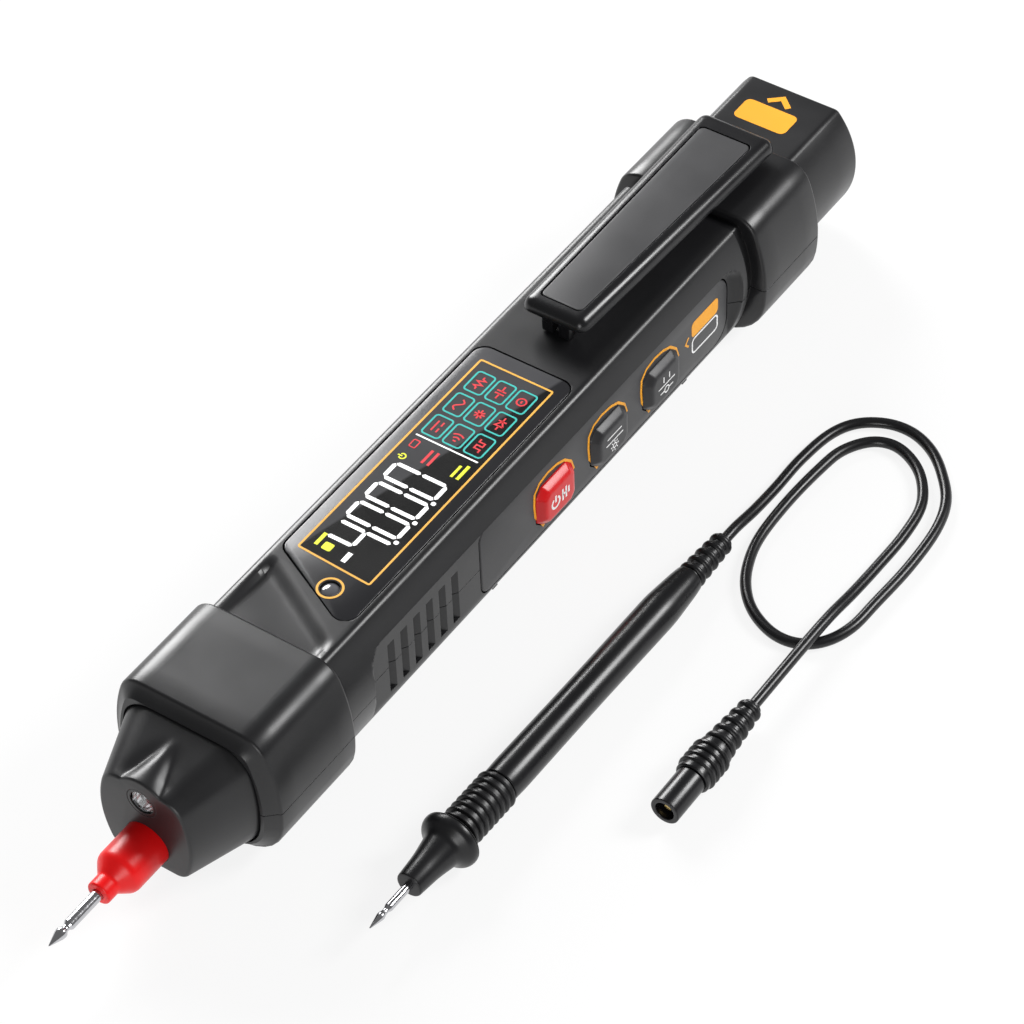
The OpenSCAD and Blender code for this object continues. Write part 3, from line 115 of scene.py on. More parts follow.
CORD_STEPS = 6


def through(points, steps):
    """A smooth curve through points, with a few steps between each pair."""
    points = [Vector(p) for p in points]
    last = len(points) - 1
    curve = []
    for i in range(last):
        a, b, c, d = (points[min(max(j, 0), last)] for j in (i - 1, i, i + 1, i + 2))
        for k in range(steps):
            t = k / steps
            curve.append(b + t * (c - a) / 2 + t * t * (2 * a - 5 * b + 4 * c - d) / 2
                         + t ** 3 * (3 * b - a - 3 * c + d) / 2)
    return curve + [points[last]]


cord_line = through(CORD_ROUTE, CORD_STEPS)

# %% Cord
CORD_ROUNDNESS = 4
cord_curve = bpy.data.curves.new("lead_cord_cable", "CURVE")
cord_curve.dimensions = "3D"
cord_curve.bevel_depth = CORD_D / 2
cord_curve.bevel_resolution = CORD_ROUNDNESS
cord_curve.use_fill_caps = True
spline = cord_curve.splines.new("POLY")
spline.points.add(len(cord_line) - 1)
# The bevel is in millimetres, and the radius of each point brings it to metres
for knot, place in zip(spline.points, cord_line):
    knot.co = (*(place * MM), 1)
    knot.radius = MM
spline.use_smooth = True
cord = bpy.data.objects.new("lead_cord_cable", cord_curve)
bpy.context.scene.collection.objects.link(cord)
print("points on the cord", len(cord_line))

# %% [markdown]
# The studio is a pale floor, a white surrounding and three large soft lamps. The photograph
# has no shadow to speak of, so the floor shows itself to the camera almost white, while
# it lights the object as an ordinary pale surface. One lamp stands behind the pen on its
# far side and draws the bright lines along its upper edges, one fills the button side,
# and a weak one looks into the nose.
#
# Gloss and glass have to show the same white floor as the camera does. The Light Path
# node tells these rays from the others, and only they see the floor glow.

# %% Floor
FLOOR_SIZE = 4
FLOOR_SHADE = 0.85
FLOOR_SHOWN = 0.86


def link(tree, source, target):
    tree.links.new(source, target)


def seen_ray(tree):
    """1 for rays that show the background: from the camera, off gloss, or through glass."""
    path = tree.nodes.new("ShaderNodeLightPath")
    total = path.outputs["Is Camera Ray"]
    for kind in ("Is Glossy Ray", "Is Transmission Ray"):
        add = tree.nodes.new("ShaderNodeMath")
        add.operation = "MAXIMUM"
        link(tree, total, add.inputs[0])
        link(tree, path.outputs[kind], add.inputs[1])
        total = add.outputs[0]
    return total


def make_floor():
    bpy.ops.object.select_all(action="DESELECT")
    bpy.ops.mesh.primitive_plane_add(size=FLOOR_SIZE)
    floor = bpy.context.object
    floor.name = "floor"
    material = bpy.data.materials.new("floor")
    material.use_nodes = True
    tree = material.node_tree
    tree.nodes.clear()
    paper = tree.nodes.new("ShaderNodeBsdfDiffuse")
    paper.inputs["Color"].default_value = (FLOOR_SHADE, FLOOR_SHADE, FLOOR_SHADE, 1)
    glow = tree.nodes.new("ShaderNodeEmission")
    shown = tree.nodes.new("ShaderNodeMath")
    shown.operation = "MULTIPLY"
    shown.inputs[1].default_value = FLOOR_SHOWN
    link(tree, seen_ray(tree), shown.inputs[0])
    mix = tree.nodes.new("ShaderNodeMixShader")
    out = tree.nodes.new("ShaderNodeOutputMaterial")
    link(tree, shown.outputs[0], mix.inputs["Fac"])
    link(tree, paper.outputs[0], mix.inputs[1])
    link(tree, glow.outputs[0], mix.inputs[2])
    link(tree, mix.outputs[0], out.inputs["Surface"])
    floor.data.materials.append(material)


make_floor()
print("floor", FLOOR_SIZE, "m wide")

# %% [markdown]
# The surroundings are white to the camera but light the object only weakly, so that the
# lamps shape it. Each lamp is a round soft light that points at the origin. Its row gives
# its place and its diameter in metres, and its power in watts.

# %% Surroundings and lamps
SKY_LIGHT = 0.2
LAMPS = {
    "lamp_far": ((0.40, 0.66, 0.40), 0.5, 12.0),
    "lamp_near": ((0.46, -0.5, 0.52), 0.3, 5.5),
    "lamp_nose": ((-0.62, -0.34, 0.22), 0.34, 1.8),
}


def make_sky():
    world = bpy.data.worlds.new("studio")
    bpy.context.scene.world = world
    world.use_nodes = True
    tree = world.node_tree
    background = tree.nodes["Background"]
    background.inputs["Color"].default_value = (1, 1, 1, 1)
    strength = tree.nodes.new("ShaderNodeMapRange")
    strength.inputs["To Min"].default_value = SKY_LIGHT
    strength.inputs["To Max"].default_value = 1
    path = tree.nodes.new("ShaderNodeLightPath")
    link(tree, path.outputs["Is Camera Ray"], strength.inputs["Value"])
    link(tree, strength.outputs["Result"], background.inputs["Strength"])


def make_lamp(name, place, size, power):
    light = bpy.data.lights.new(name, "AREA")
    light.shape = "DISK"
    light.size = size
    light.energy = power
    lamp = bpy.data.objects.new(name, light)
    bpy.context.scene.collection.objects.link(lamp)
    lamp.location = place
    lamp.rotation_euler = (-Vector(place)).to_track_quat("-Z", "Y").to_euler()


make_sky()
for name, (place, size, power) in LAMPS.items():
    make_lamp(name, place, size, power)
bpy.context.scene.view_settings.view_transform = "Standard"
print("lamps", len(LAMPS))

# %% [markdown]
# An operator acts on all that is selected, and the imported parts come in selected. So each
# step first clears the selection and then picks up one piece. These three helpers see to
# that, and give a new primitive its name.

# %% Picking up a piece
def idle():
    """Leaves edit mode with nothing selected."""
    if bpy.context.object and bpy.context.object.mode != "OBJECT":
        bpy.ops.object.mode_set(mode="OBJECT")
    bpy.ops.object.select_all(action="DESELECT")


def activate(piece):
    idle()
    piece.select_set(True)
    bpy.context.view_layer.objects.active = piece


def added(name):
    """Names the primitive that was just added."""
    piece = bpy.context.object
    piece.name = piece.data.name = name
    return piece


idle()

# %% [markdown]
# Before anything is cut from a mesh it has to be closed, with its faces outwards, which is
# what `closed` does. `apply` adds a modifier and makes it final. `cut` takes solids out of
# a piece with the exact Boolean solver, and `joined` makes one piece of several.

# %% Closing, cutting and joining
MERGE = 0.0002


def closed(piece):
    """Merges doubles, fills open ends and turns every face outwards."""
    activate(piece)
    bpy.ops.object.mode_set(mode="EDIT")
    bpy.ops.mesh.select_all(action="SELECT")
    bpy.ops.mesh.remove_doubles(threshold=MERGE)
    bpy.ops.mesh.fill_holes(sides=0)
    bpy.ops.mesh.select_all(action="SELECT")
    bpy.ops.mesh.normals_make_consistent(inside=False)
    idle()
    return piece


def apply(piece, kind, **settings):
    """Adds a modifier and applies it."""
    activate(piece)
    modifier = piece.modifiers.new(kind.lower(), kind)
    for key, value in settings.items():
        setattr(modifier, key, value)
    bpy.ops.object.modifier_apply(modifier=modifier.name)
    return piece


def cut(piece, *cutters, operation="DIFFERENCE"):
    """Takes cutters out of a piece, or keeps what they share, and removes them."""
    for cutter in cutters:
        apply(piece, "BOOLEAN", object=cutter, operation=operation, solver="EXACT")
        bpy.data.objects.remove(cutter)
    return piece


def joined(name, pieces):
    activate(pieces[0])
    for piece in pieces:
        piece.select_set(True)
    if len(pieces) > 1:
        bpy.ops.object.join()
    return added(name)


def copy_of(piece, name):
    """A copy with a mesh of its own."""
    twin = piece.copy()
    twin.data = piece.data.copy()
    bpy.context.scene.collection.objects.link(twin)
    twin.name = twin.data.name = name
    return twin


print("points merge within", MERGE, "mm")

# %% [markdown]
# Every piece is finished alike. It is scaled from millimetres to metres with the scale
# applied, shaded smooth up to an angle, and given its material. Then it is set to ride on
# a body of the meter, and the imported part it stands for is hidden.

# %% Finishing a piece
SMOOTH_ANGLE = 32


def finish(piece, body, slot, material, *nodes, angle=SMOOTH_ANGLE):
    """Scales a piece to metres, smooths it, gives it its finish and lets it ride."""
    activate(piece)
    piece.scale = (MM, MM, MM)
    bpy.ops.object.transform_apply(location=True, rotation=True, scale=True)
    bpy.ops.object.shade_smooth_by_angle(angle=math.radians(angle))
    piece.data.materials.clear()
    piece.data.materials.append(material)
    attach(piece, body)
    if nodes:
        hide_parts(*nodes)
    return piece


print("smooth up to", SMOOTH_ANGLE, "degrees")

# %% [markdown]
# Most forms here change along one direction. `sheath` wraps a grid primitive round a list
# of rings, which suits them all, from the case to a line of print. A `slab` is a sheath of
# one plan at several heights, grown or shrunk at each. Where an edge is round, its rings
# follow a quarter turn.

# %% Sheaths and slabs
EDGE_STEPS = 4


def sheath(name, rings):
    """Wraps a grid round rings with equal counts of points and fills both ends."""
    rows, count = len(rings) - 1, len(rings[0])
    idle()
    bpy.ops.mesh.primitive_grid_add(x_subdivisions=rows, y_subdivisions=count, size=1)
    skin = added(name)
    for v in skin.data.vertices:
        row = round((v.co.x + 0.5) * rows)
        v.co = rings[row][round((v.co.y + 0.5) * count) % count]
    return closed(skin)


def facing_up(u, v, h):
    return (u, v, h)


def facing_buttons(u, v, h):
    return (u, -h, v)


def slab(name, plan, levels, facing=facing_up):
    """A plate: its plan is a function of how much it has grown, one ring at each level."""
    return sheath(name, [[facing(u, v, h) for u, v in plan(grow)] for h, grow in levels])


def quarter(depth, steps, width=None):
    """Steps round an edge: what is left to the end, and how much the outline has grown."""
    turns = [math.pi / 2 * i / steps for i in range(steps + 1)]
    return [(depth * (1 - math.sin(a)), -(width or depth) * (1 - math.cos(a))) for a in turns]


def soft_levels(low, high, radius):
    """Levels of a plate with a rounded upper edge."""
    return [(low, 0)] + [(high - left, grow) for left, grow in quarter(radius, EDGE_STEPS)]


print("steps round a soft edge", EDGE_STEPS)

# %% [markdown]
# Every finish is procedural and reads Object coordinates, which are metres here. Moulded
# plastic is never quite even: its gloss wanders a little, the mould leaves a fine grain,
# and handling polishes the edges. One recipe makes all the plastics, with the colour, the
# gloss and the strength of the grain as its settings. A Bevel node softens the last sharp
# edges, which on a real moulding are never sharper than a few tenths of a millimetre.

# %% Noise and shades
CLOUD_SCALE = 90
NOISE_SPAN = (0.3, 0.7)


def noise(tree, scale, detail, coordinates):
    texture = tree.nodes.new("ShaderNodeTexNoise")
    texture.inputs["Scale"].default_value = scale
    texture.inputs["Detail"].default_value = detail
    link(tree, coordinates, texture.inputs["Vector"])
    return texture.outputs["Fac"]


def ranged(tree, value, low, high):
    """Maps the span in which noise mostly lies to a low and a high value."""
    node = tree.nodes.new("ShaderNodeMapRange")
    node.inputs["From Min"].default_value, node.inputs["From Max"].default_value = NOISE_SPAN
    node.inputs["To Min"].default_value = low
    node.inputs["To Max"].default_value = high
    link(tree, value, node.inputs["Value"])
    return node.outputs["Result"]


def shades(tree, factor, dark, light):
    """A colour between two shades."""
    ramp = tree.nodes.new("ShaderNodeValToRGB")
    ramp.color_ramp.elements[0].color = (*dark, 1)
    ramp.color_ramp.elements[1].color = (*light, 1)
    link(tree, factor, ramp.inputs["Fac"])
    return ramp.outputs["Color"]


print("clouds about", round(1000 / CLOUD_SCALE), "mm across")

# %% [markdown]
# A painted reflection lies on the display film: it is lighter on one side of a slanting line
# across the screen. The line is a dot product: it is where a share of X and the whole of Y add up to one
# value.

# %% Painted reflection on the display
SPLIT_SLOPE, SPLIT_AT, SPLIT_SOFT = 0.264, 0.0009, 0.0003


def paint_reflection(tree, place, dark, light):
    """The film's own colour before the slanting line and a painted reflection past it."""
    lean = tree.nodes.new("ShaderNodeVectorMath")
    lean.operation = "DOT_PRODUCT"
    lean.inputs[1].default_value = (SPLIT_SLOPE, 1, 0)
    link(tree, place, lean.inputs[0])
    side = tree.nodes.new("ShaderNodeMapRange")
    side.inputs["From Min"].default_value = SPLIT_AT - SPLIT_SOFT
    side.inputs["From Max"].default_value = SPLIT_AT + SPLIT_SOFT
    link(tree, lean.outputs["Value"], side.inputs["Value"])
    mix = tree.nodes.new("ShaderNodeMix")
    mix.data_type = "RGBA"
    # Colour of the painted reflection past the line
    mix.inputs[7].default_value = (*light, 1)
    link(tree, side.outputs["Result"], mix.inputs[0])
    link(tree, dark, mix.inputs[6])
    return mix.outputs[2]


print("line at", SPLIT_AT / MM, "mm")

# %% Moulded plastic
GRAIN_SCALE, GRAIN_HEIGHT = 9000, 0.00002
EDGE_R, EDGE_SAMPLES = 0.00012, 4
COAT_ROUGHNESS = 0.06


def plastic(name, colour, roughness, grain=0.1, vary=0.12, coat=0.0, edge=EDGE_R, glow=0.0, gloss=0.4,
            painted_reflection=None):
    """Moulded plastic with wandering gloss, fine grain, softened edges and, where one is given, a painted
    reflection.
    """
    material = bpy.data.materials.new(name)
    material.use_nodes = True
    tree = material.node_tree
    shader = tree.nodes["Principled BSDF"]
    place = tree.nodes.new("ShaderNodeTexCoord").outputs["Object"]
    clouds = noise(tree, CLOUD_SCALE, 4, place)
    link(tree, ranged(tree, clouds, roughness * (1 - vary), roughness * (1 + vary)),
         shader.inputs["Roughness"])
    dark = [c * (1 - vary / 2) for c in colour]
    light = [min(1, c * (1 + vary / 2)) for c in colour]
    tint = shades(tree, clouds, dark, light)
    # A painted reflection: the colour turns lighter past a slanting line
    if painted_reflection:
        tint = paint_reflection(tree, place, tint, painted_reflection)
    link(tree, tint, shader.inputs["Base Color"])
    if glow:
        link(tree, tint, shader.inputs["Emission Color"])
        shader.inputs["Emission Strength"].default_value = glow
    bump = tree.nodes.new("ShaderNodeBump")
    bump.inputs["Strength"].default_value = grain
    bump.inputs["Distance"].default_value = GRAIN_HEIGHT
    link(tree, noise(tree, GRAIN_SCALE, 2, place), bump.inputs["Height"])
    if edge:
        soft = tree.nodes.new("ShaderNodeBevel")
        soft.samples = EDGE_SAMPLES
        soft.inputs["Radius"].default_value = edge
        link(tree, soft.outputs["Normal"], bump.inputs["Normal"])
    link(tree, bump.outputs["Normal"], shader.inputs["Normal"])
    shader.inputs["Specular IOR Level"].default_value = gloss
    shader.inputs["Coat Weight"].default_value = coat
    shader.inputs["Coat Roughness"].default_value = COAT_ROUGHNESS
    return material


print("grain about", round(1 / GRAIN_SCALE / MM, 2), "mm")

# %% [markdown]
# Most metal pieces are turned, so their tool marks run round the X axis. Noise that is
# drawn out across X gives such rings, and changes both the gloss and the relief.

# %% Metal
MARKS_STRETCH = (1, 0.08, 0.08)
MARKS_HEIGHT = 0.00001


def metal(name, colour, roughness, brush_scale=2500, vary=0.35, marks_depth=0.08):
    """Turned or plated metal with fine tool marks round the X axis."""
    material = bpy.data.materials.new(name)
    material.use_nodes = True
    tree = material.node_tree
    shader = tree.nodes["Principled BSDF"]
    shader.inputs["Metallic"].default_value = 1
    place = tree.nodes.new("ShaderNodeTexCoord").outputs["Object"]
    stretch = tree.nodes.new("ShaderNodeMapping")
    stretch.inputs["Scale"].default_value = MARKS_STRETCH
    link(tree, place, stretch.inputs["Vector"])
    marks = noise(tree, brush_scale, 3, stretch.outputs["Vector"])
    link(tree, ranged(tree, marks, roughness * (1 - vary), roughness * (1 + vary)),
         shader.inputs["Roughness"])
    link(tree, shades(tree, noise(tree, CLOUD_SCALE, 3, place), [c * 0.9 for c in colour], colour),
         shader.inputs["Base Color"])
    bump = tree.nodes.new("ShaderNodeBump")
    bump.inputs["Strength"].default_value = marks_depth
    bump.inputs["Distance"].default_value = MARKS_HEIGHT
    link(tree, marks, bump.inputs["Height"])
    link(tree, bump.outputs["Normal"], shader.inputs["Normal"])
    return material


print("marks up to", round(MARKS_HEIGHT / MM, 3), "mm high")

# %% [markdown]
# Clear plastic is the same recipe, nearly smooth, and it lets light through.

# %% Clear plastic
CLEAR_COLOUR, CLEAR_ROUGHNESS = (0.95, 0.96, 0.97), 0.04


def clear_plastic(name):
    """Clear moulding with a trace of unevenness in its gloss."""
    material = plastic(name, CLEAR_COLOUR, CLEAR_ROUGHNESS, grain=0.01, edge=0)
    material.node_tree.nodes["Principled BSDF"].inputs["Transmission Weight"].default_value = 1
    return material


print("roughness of clear plastic", CLEAR_ROUGHNESS)

# %% [markdown]
# Each finish has its colour and roughness here. The blacks differ on purpose: the case has
# the strongest grain, the clip and the handle are glossier, and rubber is duller than they
# are. Prints need no softened edges, and lit signs glow a little.

# %% Finishes of the meter and its lead
FINISH = {
    "shell": plastic("shell_plastic", (0.010, 0.010, 0.011), 0.34, grain=0.16),
    "nose": plastic("nose_plastic", (0.013, 0.013, 0.014), 0.36, grain=0.14),
    "side_panel": plastic("side_panel_film", (0.024, 0.024, 0.026), 0.36, grain=0.08),
    "clip": plastic("clip_plastic", (0.007, 0.007, 0.008), 0.26, grain=0.06),
    "plate": plastic("clip_plate_film", (0.045, 0.045, 0.047), 0.42, grain=0.1),
    "red_key": plastic("red_key_plastic", (0.62, 0.004, 0.006), 0.3, grain=0.03),
    "dark_key": plastic("dark_key_rubber", (0.020, 0.020, 0.022), 0.4, grain=0.12),
    "red_sleeve": plastic("red_sleeve_plastic", (0.78, 0.002, 0.003), 0.32, grain=0.02),
    "yellow": plastic("yellow_print", (0.85, 0.36, 0.01), 0.45, grain=0.05, edge=0),
    "gold": plastic("gold_print", (0.80, 0.40, 0.04), 0.4, grain=0.05, edge=0),
    "white": plastic("white_print", (0.88, 0.88, 0.88), 0.5, grain=0.05, vary=0.04, edge=0),
    "lit_white": plastic("lit_white", (0.95, 0.95, 0.95), 0.4, vary=0.03, edge=0, glow=0.3),
    "lit_teal": plastic("lit_teal", (0.01, 0.40, 0.36), 0.4, vary=0.06, edge=0, glow=0.15),
    "lit_red": plastic("lit_red", (0.62, 0.01, 0.02), 0.4, vary=0.06, edge=0, glow=0.15),
    "lit_yellow": plastic("lit_yellow", (0.75, 0.80, 0.01), 0.4, vary=0.06, edge=0, glow=0.15),
    "smoke": plastic("smoke_lens", (0.10, 0.10, 0.11), 0.16, grain=0.02, coat=0.8),
    "lead": plastic("lead_plastic", (0.005, 0.005, 0.006), 0.28, grain=0.05),
    "rubber": plastic("lead_rubber", (0.006, 0.006, 0.007), 0.36, grain=0.14),
    "cable": plastic("cable_jacket", (0.006, 0.006, 0.007), 0.3, grain=0.08, edge=0),
    "insert": plastic("socket_insert_plastic", (0.015, 0.015, 0.016), 0.5, grain=0.1),
    # The display panel and the screen field carry a painted reflection, lighter past a slanting line
    "panel": plastic("display_panel", (0.016, 0.016, 0.018), 0.22, grain=0.03,
                     painted_reflection=(0.060, 0.060, 0.064)),
    "field": plastic("screen_field", (0.003, 0.003, 0.003), 0.2, grain=0.02, edge=0,
                     painted_reflection=(0.050, 0.050, 0.053)),
    "board": plastic("circuit_board", (0.02, 0.16, 0.06), 0.4, grain=0.1),
    "chips": plastic("chip_plastic", (0.012, 0.012, 0.012), 0.5, grain=0.15),
    "ceramic": plastic("ceramic_tube", (0.72, 0.68, 0.58), 0.35, grain=0.05),
    "cell": plastic("cell_sleeve", (0.06, 0.18, 0.42), 0.3, grain=0.03),
    "wire": plastic("wire_jacket", (0.5, 0.02, 0.02), 0.4, grain=0.05),
    "resin": plastic("led_resin", (0.85, 0.78, 0.45), 0.3, grain=0.03, glow=0.15),
    "clear": clear_plastic("clear_lens"),
    "steel": metal("polished_steel", (0.58, 0.58, 0.60), 0.16, marks_depth=0.02),
    "plated": metal("plated_steel", (0.62, 0.62, 0.64), 0.3),
    "brass": metal("turned_brass", (0.78, 0.58, 0.22), 0.26),
    "mirror": metal("reflector_mirror", (0.92, 0.92, 0.93), 0.07, vary=0.2),
    "copper": metal("bare_copper", (0.80, 0.42, 0.26), 0.3),
}
print("finishes", len(FINISH))

# %% [markdown]
# The case is one long form: a front collar with a sloping rim, the body, and a rear
# collar. Across the pen each stretch is a flat-topped outline with bulging sides, made of
# straight lines and arcs. All rings have the same number of points, so one sheath can run
# through both collars and the body. The details that belong to the surface itself, which
# are the side pads, the grip slots, the dark groove and the scoop ahead of the display,
# are worked into the points of the rings. That keeps every edge where the grid has one,
# and a curved surface stays smooth up to it.

# %% Outlines across the pen
# Half width, underside, top, height of the bulge, radius of the sides, edge radii
BODY = (14.5, 0, 27, 15, 23.3, 1.5, 4)
COLLAR = (16.594, 0, 28, 13, 34, 5, 10)
BLOCK = (13.6, 3, 26.2, 15, 16.5, 1.6, 3.4)
NOSE_BASE = (13.3, 2.2, 25.3, 13.75, 30, 6, 8)
NOSE_TIP = (9, 4.4, 22.3, 13.2, 20, 4.2, 2.6)
WALL = 1.8
TOP_STEPS = 14
CORNER_STEPS = 7
UNDER_STEPS = 3
SIDE_STEPS = 30


def arc(cu, cv, radius, start, end, steps):
    """Points on an arc, angles in radians."""
    return [(cu + radius * math.cos(start + (end - start) * i / steps),
             cv + radius * math.sin(start + (end - start) * i / steps)) for i in range(steps + 1)]


def side_span(section, grow=0.0):
    """Start of the bulging side below the top corner and its end above the bottom corner."""
    half_w, bottom, top, bulge, side_r, top_r, bottom_r = section
    half_w, bottom, top, side_r = half_w + grow, bottom - grow, top + grow, side_r + grow
    top_r, bottom_r = top_r + max(grow, -top_r / 2), bottom_r + grow
    middle = half_w - side_r
    y_top = middle + math.sqrt((side_r - top_r) ** 2 - (top - top_r - bulge) ** 2)
    y_low = middle + math.sqrt((side_r - bottom_r) ** 2 - (bottom + bottom_r - bulge) ** 2)
    a_top = math.atan2(top - top_r - bulge, y_top - middle)
    a_low = math.atan2(bottom + bottom_r - bulge, y_low - middle)
    return middle, side_r, top_r, bottom_r, y_top, y_low, a_top, a_low, bottom, top, bulge


def side_ends(section, grow=0.0):
    """Heights at which a bulging side starts and ends."""
    _, side_r, *_, a_top, a_low, _, _, bulge = side_span(section, grow)
    return [bulge + side_r * math.sin(a) for a in (a_top, a_low)]


def side_shares(section, levels):
    """Where given heights lie along a side, from 0 at its top to 1 at its foot."""
    high, low = side_ends(section)
    return sorted((high - z) / (high - low) for z in levels)


print("side of the body", [round(z, 1) for z in side_ends(BODY)])

# %% One ring of points
def ring(section, grow=0.0, shares=None):
    """One closed outline as (y, z) points, from the middle of the top round to it again."""
    middle, side_r, top_r, bottom_r, y_top, y_low, a_top, a_low, bottom, top, bulge = side_span(
        section, grow)
    shares = shares or [i / SIDE_STEPS for i in range(1, SIDE_STEPS)]
    high, low = side_ends(section, grow)
    half = [(y_top * i / TOP_STEPS, top) for i in range(TOP_STEPS)]
    half += arc(y_top, top - top_r, top_r, math.pi / 2, a_top, CORNER_STEPS)
    for share in shares:
        z = high + (low - high) * share
        half.append((middle + math.sqrt(side_r ** 2 - (z - bulge) ** 2), z))
    half += arc(y_low, bottom + bottom_r, bottom_r, a_low, -math.pi / 2, CORNER_STEPS)
    half += [(y_low * (1 - i / UNDER_STEPS), bottom) for i in range(1, UNDER_STEPS + 1)]
    return half + [(-y, z) for y, z in reversed(half[1:-1])]


def spread(start, end, step):
    """Even places from start up to, but not at, the end."""
    count = max(1, round(abs(end - start) / step))
    return [start + (end - start) * i / count for i in range(count)]


print("points in a plain ring", len(ring(BODY)))

# %% Places along the pen, from the frame
upper_low, upper_high = node_box("upper_shell")
RIM_X, TAIL_X1 = upper_low.x, upper_high.x
RIM_LEN, RIM_W = 1.6, 2.3
COLLAR_LEN, TAIL_LEN = 20.2, 18.5
COLLAR_X0 = RIM_X + RIM_LEN
COLLAR_X1 = COLLAR_X0 + COLLAR_LEN
TAIL_X0 = TAIL_X1 - TAIL_LEN
COLLAR_SOFT = 0.6
GROOVE_W, GROOVE_DEPTH = 2.6, 0.9
SEAM_LOW, SEAM_HIGH = 12.8, 12.95
print("collars", [round(x, 1) for x in (RIM_X, COLLAR_X0, COLLAR_X1, TAIL_X0, TAIL_X1)])

# %% [markdown]
# Each side has a flat pad, sunk into the bulge. Its upper edge is a small step, its ends
# are ramps, and the step turns into the ramp round a large corner. The distance to a
# rounded rectangle gives all three at once.

# %% Side pads
PAD_Y, PAD_TOP = 12.5, 21.9
PAD_X0, PAD_X1 = -34, 74.6
PAD_CORNER = 3.2
PAD_RISE = 2.65
PAD_FRONT_RAMP, PAD_BACK_RAMP, PAD_EDGE = 1.3, 2.6, 0.45


def smooth(value, start, end):
    """0 before start, 1 after end, with no corner at either."""
    t = min(1, max(0, (value - start) / (end - start)))
    return t * t * (3 - 2 * t)


def pad_limit(x, z):
    """How far out the side may reach at a place: the pad, its upper step and its ramps."""
    middle, half = (PAD_X0 + PAD_X1) / 2, (PAD_X1 - PAD_X0) / 2
    along = abs(x - middle) - (half - PAD_CORNER)
    above = z - (PAD_TOP - PAD_CORNER)
    corner = math.hypot(max(along, 0), max(above, 0))
    beyond = corner + min(max(along, above), 0) - PAD_CORNER
    if beyond <= 0:
        return PAD_Y
    end_ramp = PAD_FRONT_RAMP if x < middle else PAD_BACK_RAMP
    lean = (max(along, 0) / max(corner, MERGE)) ** 2
    return PAD_Y + PAD_RISE * beyond / (PAD_EDGE + (end_ramp - PAD_EDGE) * lean)


print("pads", PAD_X1 - PAD_X0, "mm long")

# %% [markdown]
# The grip slots are cut like the teeth of a saw, so that a thumb slides over them one way
# and is held the other way. A point in a slot is pushed in by the slot's depth there.

# %% Grip slots
SLOT_FIRST, SLOT_PITCH, SLOT_COUNT = -28, 3.6, 6
SLOT_W, SLOT_DEPTH = 1.9, 0.9
SLOT_LOW, SLOT_TOP = 6.85, 18.15
SLOT_WALL = 0.06


def slot_depth(x, z):
    """A steep front wall, a short floor and a long sloping back wall."""
    near = SLOT_WALL / 3
    if not SLOT_LOW + near < z < SLOT_TOP - near:
        return 0
    for i in range(SLOT_COUNT):
        u = x - SLOT_FIRST - i * SLOT_PITCH
        if -SLOT_W / 2 + near < u <= -SLOT_W / 6 + near:
            return SLOT_DEPTH
        if -SLOT_W / 6 < u < SLOT_W / 2 - near:
            return SLOT_DEPTH * (SLOT_W / 2 - u) / (SLOT_W * 2 / 3)
    return 0


print("slots", SLOT_COUNT)

# %% [markdown]
# Ahead of the display the top is hollowed like a spoon. A short slope leads down from the
# slanted front of the panel, and from its foot the hollow gets shallower to the collar.

# %% Scoop and the finished skin of the body
SCOOP_DEPTH = 0.95
SCOOP_BACK = ((-29.2, 7.6), (-38.2, -9.0))
SCOOP_HALF_W, SCOOP_SIDE_W, SCOOP_SLOPE_W = 9.9, 1.4, 3.4
SCOOP_FADE = (3, 13)
SCOOP_FADE_SHARE = 0.6


def scoop_drop(x, y):
    """A spoon-shaped hollow that ends along the slanted front of the display panel."""
    (x0, y0), (x1, y1) = SCOOP_BACK
    ahead_of_panel = ((x0 - x) * (y0 - y1) - (y0 - y) * (x0 - x1)) / math.hypot(x0 - x1, y0 - y1)
    side = smooth(SCOOP_HALF_W - abs(y), 0, SCOOP_SIDE_W)
    fade = SCOOP_FADE_SHARE * smooth(ahead_of_panel, *SCOOP_FADE)
    deep = smooth(ahead_of_panel, 0, SCOOP_SLOPE_W) * (1 - fade)
    return SCOOP_DEPTH * side * deep


def body_point(x, y, z):
    """Moves a point of the plain outline to where pads, slots and scoop put it."""
    reach = min(abs(y), pad_limit(x, z) - slot_depth(x, z))
    return (x, math.copysign(reach, y), z - (scoop_drop(x, y) if z > PAD_TOP else 0))


print("scoop", SCOOP_DEPTH, "mm deep")

# %% [markdown]
# A ring has points exactly where the skin has an edge: at the foot and the top of the
# slots and at the step of the pad. Between these they are spread evenly.

# %% Heights at which the rings have points
SIDE_STEP, LIP_STEP, SHOULDER_STEP = 0.8, 0.4, 0.7
SIDE_START, PAD_LIP, SHOULDER_START = 0.5, 0.17, 0.6
side_high, side_low = side_ends(BODY)
levels = spread(side_low + SIDE_START, SLOT_LOW, SIDE_STEP)
levels += spread(SLOT_LOW + SLOT_WALL, SLOT_TOP, SIDE_STEP)
levels += [SLOT_LOW, SLOT_TOP - SLOT_WALL, SLOT_TOP] + spread(SLOT_TOP + LIP_STEP, PAD_TOP, LIP_STEP)
levels += [PAD_TOP, PAD_TOP + PAD_LIP] + spread(PAD_TOP + SHOULDER_START, side_high, SHOULDER_STEP)
SHARES = side_shares(BODY, levels)
print("points in a ring", len(ring(BODY, 0, SHARES)))

# %% Stations of the case
LONG_STEP, RAMP_STEP, FRONT_STEP, SLOT_STEP = 4, 0.35, 0.4, 0.7
COLLAR_STEPS = 3


def collar_stations(x0, x1):
    """A collar with both ends rounded off."""
    edge = quarter(COLLAR_SOFT, COLLAR_STEPS)
    front = [(x0 + left, grow) for left, grow in reversed(edge)]
    back = [(x1 - left, grow) for left, grow in edge]
    between = [(x, 0) for x in spread(x0 + COLLAR_SOFT, x1 - COLLAR_SOFT, LONG_STEP)[1:]]
    return front + between + back


